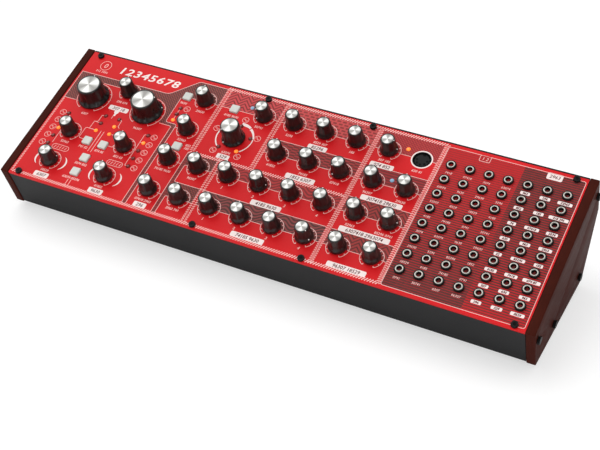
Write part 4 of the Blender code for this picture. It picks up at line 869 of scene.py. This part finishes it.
def band_outlines():
    """Outlines of the printed bands, in panel millimetres; rings, buttons and sockets are left out of them."""
    tune_left, tune_right = KNOBS["osc1_tune_knob"][:2], KNOBS["osc2_tune_knob"][:2]
    oscillator = [(1.8, 79.3), (12.3, 79.3)] + arc(tune_left, 14.5, -114, -4, 14) + [(25.5, 100.7), (40, 100.7), (56, 98.5)]
    oscillator += arc(tune_right, 14.5, -40, 114, 18) + [(98.3, 79.1), (99.7, 77.7), (103, 77.7), (103, 80.4), (101.8, 81.6)]
    oscillator += [(94.4, 81.6), (93.2, 82.9), (93.2, 105.2), (94.2, 105.2), (94.2, 112.8), (101.8, 112.8), (101.8, 108.7)]
    oscillator += [(124.7, 108.7), (124.7, 125.4)] + [(u, v - 0.2) for u, v in TOP_EDGE[::-1]] + [(1.8, 106.9)]
    output = [(255.3, 108.7)] + arc(DIN, 8, -89, 89, 20) + [(302.3, 108.7), (302.3, 124), (301, 125.4), (255.3, 125.4)]
    return {
        "oscillator": [oscillator],
        "channel": [box_outline(99.7, 103, 3.5, 77.7), box_outline(124.8, 128.1, 3.5, 60)],
        "shape": [
            box_outline(128.9, 135.4, 108.7, 125.4),
            box_outline(135.4, 143, 112.8, 125.4),
            box_outline(143, 175.4, 108.7, 125.4),
        ],
        "delay": [box_outline(179.3, 251.3, 108.7, 125.4)],
        "output": [output],
        "drive": [box_outline(179.3, 251.3, 79.1, 92.5)],
        "sample": [box_outline(255.3, 302.3, 79.1, 92.5)],
        "attack": [box_outline(153.6, 251.3, 49.4, 60)],
        "decay": [box_outline(153.6, 251.3, 19.7, 33.1)],
        "slew": [box_outline(255.3, 302.3, 49.4, 62.6), box_outline(255.3, 302.3, 19.7, 33.1)],
        "noise": [box_outline(128.1, 150.1, 19.7, 33.1), box_outline(128.1, 150.1, 49.4, 60)],
    }


BAND_LOOKS = {
    "oscillator": ("net", linear(168, 82, 76), linear(84, 56, 54)),
    "channel": ("rules", linear(152, 58, 56), linear(124, 50, 48)),
    "shape": ("chevrons", linear(206, 76, 78), linear(126, 48, 48)),
    "delay": ("bricks", linear(206, 80, 80), linear(138, 56, 54)),
    "output": ("net", linear(196, 62, 64), linear(146, 50, 50)),
    "drive": ("steps", linear(172, 60, 60), linear(104, 50, 48)),
    "sample": ("rules", linear(164, 52, 54), linear(112, 48, 48)),
    "attack": ("waves", linear(186, 60, 60), linear(124, 50, 50)),
    "decay": ("waves", linear(146, 72, 70), linear(82, 54, 52)),
    "slew": ("chevrons", linear(166, 60, 58), linear(98, 50, 48)),
    "noise": ("net", linear(160, 66, 62), linear(86, 56, 52)),
}


# Print on the panel; every layer is a thin closed skin

INK_LOW, INK_HIGH = -0.02, 0.05


TOP_EDGE = [(79.3, 107.1), (81.8, 107.7), (83.6, 108.9), (98.9, 124.3), (100, 125.2), (101.4, 125.6)]


def box_outline(u0, u1, v0, v1):
    return [(u0, v0), (u1, v0), (u1, v1), (u0, v1)]


def band_sheets():
    """Darker printed grounds with small motifs, and the field under the patch sockets."""
    for name, outlines in band_outlines().items():
        form = Form()
        for outline in outlines:
            form.add(prism(outline, INK_LOW, 0.015))
        piece_from_form(name + "_band", form, PANEL, [ink_band(name + "_band_ink", *BAND_LOOKS[name])], "case")
    form = Form()
    form.add(prism([(u + 355.25, v + 64) for u, v in rounded_outline(99.3, 122.8, 1.5)], INK_LOW, 0.015))
    piece_from_form("patch_field", form, PANEL, [field_ink()], "case")


PLATES = [
    (42.4, 59.6, 79, 83.4), (20.1, 32.8, 3.6, 8.3), (69.1, 81.4, 3.7, 8.3), (108.6, 119.1, 3.7, 8.3), (146.6, 156.9, 63, 67.4),
    (207.6, 222.8, 92.4, 96.8), (203.7, 226.9, 62.7, 67.3), (190.5, 214.6, 33, 37.6), (189.4, 215.5, 3.9, 8.3),
    (257.3, 275.4, 92.1, 96.6), (263.2, 294.6, 62.7, 67.1), (259.8, 297.9, 33, 37.6), (264.1, 293.4, 3.5, 8), (378.2, 389.3, 120.2, 126),
]
LABELS = [
    (26.6, 69, 7.5), (75.1, 68.7, 8), (50, 88, 12), (26.6, 39.6, 9.6), (75, 39.6, 9.8), (26.6, 10.6, 9), (75, 10.6, 9), (43.4, 39.6, 10),
    (58, 39.6, 10.5), (50.7, 24.6, 14.6), (50.5, 10.6, 19.6), (97.5, 102.5, 7.5), (114.1, 98.8, 8), (113.9, 69.6, 8),
    (121.6, 66.2, 5.5), (121.6, 63.3, 5.5), (139.3, 102.3, 15), (113.9, 39.9, 17), (113.9, 10.6, 17.8), (164.6, 98.8, 8), (152, 69.4, 9),
    (138.9, 39.6, 8.9), (138.9, 10.6, 14.3), (190.1, 98.9, 7), (215.5, 99.1, 14), (240.7, 99, 5), (189.4, 69.4, 9), (215.5, 69.4, 8),
    (240.5, 69.3, 9), (266.1, 99.3, 12), (291.9, 97.7, 11), (266.1, 69.4, 8), (291.4, 69.3, 9), (266.1, 39.6, 8), (291.4, 39.7, 18),
]
SINGLE_LABELS = [(u, v) for v in (39.6, 10.4) for u in (164.3, 189.8, 215.3, 240.6)]


PILLS = [
    (7, 7.6, 9.4), (6.8, 7.1, 7.4), (8.2, 8.7, 12), (5.4, 9.7, 6.1), (6.8, 7.3, 9.1), (5.9, 10, 7.9), (6.6, 7.1, 13.6), (6.8, 7.3, 10.2),
]


FIGURE_WIDTH = 1.75


def figures(start, width):
    """A run of plain figures that fills a width, in twos where there is room."""
    places = max(1, round(width / FIGURE_WIDTH))
    run = "".join(str((start * 3 + step * 7) % 10) for step in range(places))
    return run if places < 6 else run[:places // 2] + " " + run[places // 2 + 1:]


def make_plates():
    """White name plates that carry plain figures, and the row of large figures along the top."""
    plates = Form()
    writing = Form()
    for count, (u0, u1, v0, v1) in enumerate(PLATES):
        width, height = u1 - u0, v1 - v0
        place = at((u0 + u1) / 2, (v0 + v1) / 2)
        plates.add(prism(rounded_outline(width, height, 1.0), INK_LOW, INK_HIGH), place)
        text = figures(count + 1, (width - 2.6) * 0.75)
        writing.add(lettering(text, 2.7, 0.06, 0.05), place @ Matrix.Translation((0, 0, INK_HIGH)))
    plates.add(prism([(49.1, 79.2), (49.1, 77.4), (50.2, 76), (50.2, 74), (51.8, 74), (51.8, 76), (52.9, 77.4), (52.9, 79.2)],
                     INK_LOW, INK_HIGH))
    heading = Form()
    for step in range(8):
        wide = at(33.2 + 7 * step, 117.4, 0.02) @ Matrix.Diagonal((1.35, 1, 1, 1))
        heading.add(lettering(str(step + 1), 6.6, 0.06, 0.16), wide)
    small = Form()
    small.add(lettering("012 3456", 2.0, 0.06, 0.02), at(17, 111.4, 0.02))
    small.add(lettering("0", 4.4, 0.06, 0.02), at(17.3, 117.8, 0.02))
    small.add(stroke(arc((17.2, 117.8), 4.6, 0, 360, 28)[:-1], 0.36, INK_LOW, INK_HIGH, True))
    piece_from_form("name_plates", plates, PANEL, [PLATE_INK], "case")
    piece_from_form("plate_figures", writing, PANEL, [DARK_INK], "case")
    piece_from_form("heading_figures", heading, PANEL, [PLATE_INK], "case")
    piece_from_form("corner_figures", small, PANEL, [WHITE_INK], "case")


def make_figures():
    """Plain figures where a panel has its small legends."""
    writing = Form()
    for step, (u, v, width) in enumerate(LABELS):
        writing.add(lettering(figures(step + 2, width), 2.0, 0.06, 0.06), at(u, v, 0.02))
    for step, (u, v) in enumerate(SINGLE_LABELS):
        writing.add(lettering(str(step % 4 + 1), 2.2, 0.06, 0.06), at(u, v, 0.02))
    writing.add(lettering("1 2", 2.6, 0.06, 0.02), at(333.3, 123.1, 0.02))
    plates = Form()
    dark = Form()
    for row, widths in enumerate(PILLS):
        for column in range(7):
            u, v = 313.4 + 14 * column, 10.7 + 13.257 * row
            if column < 4:
                width = 6.5 + (row * 3 + column * 2) % 4
                writing.add(lettering(figures(row * 7 + column, width), 1.8, 0.06, 0.02), at(u, v, 0.02))
            else:
                width = widths[column - 4]
                plates.add(prism(rounded_outline(width, 2.7, 0.7), INK_LOW, 0.04), at(u, v))
                dark.add(lettering(figures(row * 7 + column, width - 1.6), 1.7, 0.06), at(u, v, 0.04))
    piece_from_form("panel_figures", writing, PANEL, [WHITE_INK], "case")
    piece_from_form("patch_plates", plates, PANEL, [PLATE_INK], "case")
    piece_from_form("patch_plate_figures", dark, PANEL, [DARK_INK], "case")


ROW_ENDS = ((179.3, 181.3), (198, 206.6), (223.4, 232), (248.6, 251.3), (255.3, 257.8), (274.2, 283), (299.8, 302.3))


ROW_LINES = (
    (108.7, ((102.3, 105.6), (121.7, 124.7), (128.9, 135.2), (143.2, 156), (172.8, 175.4)) + ROW_ENDS),
    (79.1, ((103, 105.6),) + ROW_ENDS),
    (49.4, ((121.7, 124.8), (145.5, 150), (153.6, 156), (172.8, 179.3)) + ROW_ENDS),
    (19.7, ((121.7, 124.8), (145.5, 150), (153.6, 156), (172.8, 179.3)) + ROW_ENDS),
    (92.5, ((179.3, 207.4), (223, 251.3), (275.5, 302.3))),
    (62.6, ((255.3, 263), (294.8, 302.3))),
    (33.1, ((130.5, 190.3), (214.8, 251.3), (255.3, 259.6), (298.1, 302.3))),
)


LINE_PATHS = (
    [(1.5, 79.1), (1.5, 107.1)] + TOP_EDGE + [(124.6, 125.6)],
    [(1.5, 79.1), (12, 79.1)],
    [(25.5, 100.9), (40.5, 100.9)],
    [(93.2, 106.4), (93.2, 82.9), (93.6, 82), (94.5, 81.6), (101.8, 81.6), (102.7, 81.2), (103, 80.4), (103, 3.5)],
    [(89, 78.9), (98.5, 78.9), (99.4, 78.5), (99.7, 77.7), (99.7, 3.5)],
    [(124.8, 3.5), (124.8, 61)],
    [(130.5, 19.7), (128.9, 19.7), (128.1, 18.9), (128.1, 3.5)],
    [(130.5, 33.1), (128.9, 33.1), (128.1, 33.9), (128.1, 48.6), (128.9, 49.4), (130.5, 49.4)],
    [(49.4, 37), (49.4, 57.5)], [(52, 37), (52, 57.5)], [(49.4, 3), (49.4, 9)], [(52, 3), (52, 9)], [(50.4, 71), (50.4, 74.2)],
    [(44, 72), (41.7, 71.5), (41.7, 66), (41, 65), (38.8, 64.5), (38.6, 57.5)], [(43, 64.5), (39, 64.6)],
    [(43.5, 57.2), (36.2, 57.2), (35.4, 56.4), (35.4, 47.4), (36.2, 46.6), (39.5, 46.4)],
    [(58.5, 72), (59.7, 71), (59.9, 65.5), (61.5, 64.2)], [(59, 57), (61, 57)], [(62.2, 46.4), (66, 46.4), (66.4, 48.6)],
    [(17.6, 36), (17.6, 49)], [(84.2, 34.5), (84.2, 65)], [(97.9, 86.6), (97.9, 89.2)], [(97.9, 92.7), (97.9, 95.3)],
)


def crescent(centre, middle, reach, swell, thickness):
    """Outline of an arc beside a knob, thick in its middle; the angles are clockwise from straight up, in degrees."""
    inside, outside = [], []
    for step in range(13):
        offset = step / 6 - 1
        bulge = 1 - offset ** 2
        angle, radius, half = middle + 31 * offset, reach + swell * bulge, 0.12 + thickness / 2 * bulge
        inside += arc(centre, radius - half, angle, angle, 1)[:1]
        outside += arc(centre, radius + half, angle, angle, 1)[:1]
    return inside + outside[::-1]


def make_lines():
    lines = Form()

    def line(path, width=0.42, closed=False):
        lines.add(stroke(path, width, INK_LOW, INK_HIGH, closed))

    def tapered(start, end, inner, outer):
        """A wide arc round the shape knob; the radii are given at both of its ends."""
        steps = 12
        angles = [start + (end - start) * step / steps for step in range(steps + 1)]
        inside = [arc(LFO_RING, inner[0] + (inner[1] - inner[0]) * s / steps, a, a, 1)[0] for s, a in enumerate(angles)]
        outside = [arc(LFO_RING, outer[0] + (outer[1] - outer[0]) * s / steps, a, a, 1)[0] for s, a in enumerate(angles)]
        bold.add(prism(inside + outside[::-1], INK_LOW, INK_HIGH))

    for path in LINE_PATHS:
        line(path)
    for v, spans in ROW_LINES:
        for u0, u1 in spans:
            line([(u0, v), (u1, v)])
    for v in WAVE_ROWS:
        line([(84.2, v), (85.6, v)], 0.36)
        line([(11.8, v - 0.2), (13, v)], 0.36)
    for u, width in ((26.75, 14.7), (76, 13.4)):
        line([(u + a, 33.25 + b) for a, b in rounded_outline(width, 4.6, 2.2)], 0.36, True)
        for step in range(5):
            line([(u - 5.2 + 2.4 * step, 32), (u - 4.4 + 2.4 * step, 34.5)], 0.4)
    line([(333.3 + a, 123.1 + b) for a, b in rounded_outline(7.8, 5.2, 1)], 0.4, True)
    line([(355.25 + a, 64 + b) for a, b in rounded_outline(99.7, 123.2, 1.5)], 0.42, True)
    icons = [(9.4, v - 0.35) for v in WAVE_ROWS] + [(92.6, v - 0.35) for v in WAVE_ROWS]
    icons += [(103.4, 97.7), (134.6, 88.4), (168.9, 88.6), (141.6, 68.7), (162.1, 68.4), (152.1, 102.1)]
    for u, v in icons:
        line(arc((u, v), 2.5, 0, 360, 20)[:-1], 0.34, True)
        line([(u + 1.5 * (s / 4 - 1), v + 1.1 * math.sin(s / 8 * math.tau)) for s in range(9)], 0.34)
    bold = Form()
    for name in ("osc1_width_knob", "osc2_width_knob"):
        u, v, _ = KNOBS[name]
        for side in (90, -90):
            bold.add(prism(crescent((u + 0.6, v), side, 11.6, 1.6, 1.1), INK_LOW, INK_HIGH))
    tapered(-2, 33, (12.1, 13.2), (15.0, 15.0))
    tapered(36, 78, (12.7, 13.9), (14.8, 14.8))
    for start, end, width in ((80, 140, 0.8), (-139, -60, 1.0)):
        bold.add(stroke(arc(LFO_RING, 14.35, start, end, 14), width, INK_LOW, INK_HIGH))
    bold.add(stroke(arc(DIN, 7.45, 0, 360, 48)[:-1], 1.0, INK_LOW, INK_HIGH, True))
    piece_from_form("printed_lines", lines, PANEL, [WHITE_INK], "case")
    piece_from_form("printed_arcs", bold, PANEL, [PLATE_INK], "case")


STRIPS = {
    "upright_strips": (1.75, 2.2, 0.6, 36, [
        ((u + side, v0), (u + side, v1))
        for u, v0, v1, gap in ((126.8, 64, 126, 1.2), (151.9, 3.5, 61, 1.3), (177.4, 64, 126, 1.2), (253.3, 3, 126, 1), (304, 3, 126, 1))
        for side in (-gap, gap)
    ]),
    "left_strip": (1.75, 2.3, 0.6, 40, [((1.7, 3), (1.7, 78.5))]),
    "level_strips": (2.0, 3.1, 0.8, 52, [((3.5, 2.7), (303, 2.7)), ((126, 61.4), (253, 61.4)), ((125.5, 126.4), (303, 126.4))]),
}


def make_hatching():
    """Strips of slanted dashes between the sections, up the slope and along it."""
    for name, (pitch, length, width, slant, paths) in STRIPS.items():
        points = [spot for ends in paths for spot in on_panel(ends, 0.02)]
        edges = [(index, index + 1) for index in range(0, len(points), 2)]
        sizes = {"Pitch": pitch * MM, "Length": length * MM, "Width": width * MM, "Thickness": 0.06 * MM}
        mesh = grown(name, DASHES, points, edges, Slant=math.radians(slant), Turn=PANEL_TURN, Material=WHITE_INK, **sizes)
        grown_piece(name, mesh, "case")


def make_scales():
    small = [(u + 0.15, v) for name, (u, v, _) in KNOBS.items() if "tune" not in name and name != "lfo_shape_knob"]
    large = [(u, v) for name, (u, v, _) in KNOBS.items() if "tune" in name]
    shared = {"Turn": PANEL_TURN, "Material": WHITE_INK, "Thickness": 0.06 * MM}
    for name, spots, radius in (("small_scales", small, 8.4), ("large_scales", large, 14)):
        sizes = {"Radius": radius * MM, "Line": 0.45 * MM, "Tick_Length": 1.25 * MM, "Tick_Width": 0.6 * MM}
        mesh = grown(name, SCALES, on_panel(spots, 0.02), Ticks=11, **sizes, **shared)
        grown_piece(name, mesh, "case")


# Stage

def make_stage():
    scene = bpy.context.scene
    scene.view_settings.view_transform = "Standard"
    mesh = bpy.data.meshes.new("floor")
    reach = 6.0
    mesh.from_pydata([(-reach, -reach, 0), (reach, -reach, 0), (reach, reach, 0), (-reach, reach, 0)], [], [(0, 1, 2, 3)])
    material, tree = start_material("floor_white")
    seen = node(tree, "ShaderNodeLightPath").outputs["Is Camera Ray"]
    dust = noise(tree, object_place(tree, 0.2), 1.0, 2.0)
    level = maths(tree, "SUBTRACT", spread(tree, dust, 0.93, 0.95), maths(tree, "MULTIPLY", seen, 0.4))
    matt = node(tree, "ShaderNodeBsdfDiffuse", {"Color": level})
    lift = node(tree, "ShaderNodeEmission", {"Strength": maths(tree, "MULTIPLY", seen, 0.54)})
    summed = node(tree, "ShaderNodeAddShader", {0: matt.outputs[0], 1: lift.outputs[0]})
    node(tree, "ShaderNodeOutputMaterial", {"Surface": summed.outputs[0]})
    mesh.materials.append(material)
    floor = bpy.data.objects.new("floor", mesh)
    scene.collection.objects.link(floor)

    world = bpy.data.worlds.new("studio")
    scene.world = world
    world.use_nodes = True
    tree = world.node_tree
    tree.nodes.clear()
    path = node(tree, "ShaderNodeLightPath")
    shine = maths(tree, "MAXIMUM", path.outputs["Is Glossy Ray"], path.outputs["Is Transmission Ray"])
    level = maths(tree, "ADD", 0.74, maths(tree, "MULTIPLY", path.outputs["Is Camera Ray"], 0.26))
    level = maths(tree, "SUBTRACT", level, maths(tree, "MULTIPLY", shine, 0.39))
    sky = node(tree, "ShaderNodeBackground", {"Color": (1, 1, 1, 1), "Strength": level})
    node(tree, "ShaderNodeOutputWorld", {"Surface": sky.outputs[0]})

    for name, source, angle, energy in (("key", (-9, 2.1, 14.6), 50, 1.0), ("fill", (5.9, -6.7, 4.1), 20, 0.35)):
        lamp = bpy.data.lights.new(name, "SUN")
        lamp.angle = math.radians(angle)
        lamp.energy = energy
        light = bpy.data.objects.new(name, lamp)
        light.rotation_euler = Vector(source).to_track_quat("Z", "Y").to_euler()
        scene.collection.objects.link(light)

    lens = bpy.data.cameras.new("camera")
    lens.lens = 74.06
    lens.sensor_width = 36
    camera = bpy.data.objects.new("camera", lens)
    camera.location = PANEL @ Vector((552.07, -378.73, 681.38))
    camera.rotation_euler = Euler([math.radians(angle) for angle in (54.1406, 0.1668, 27.2598)])
    scene.collection.objects.link(camera)
    scene.camera = camera


make_stage()
make_case()
make_knobs()
make_buttons()
make_lights()
make_patch_sockets()
make_din_socket()
band_sheets()
make_plates()
make_figures()
make_lines()
make_hatching()
make_scales()
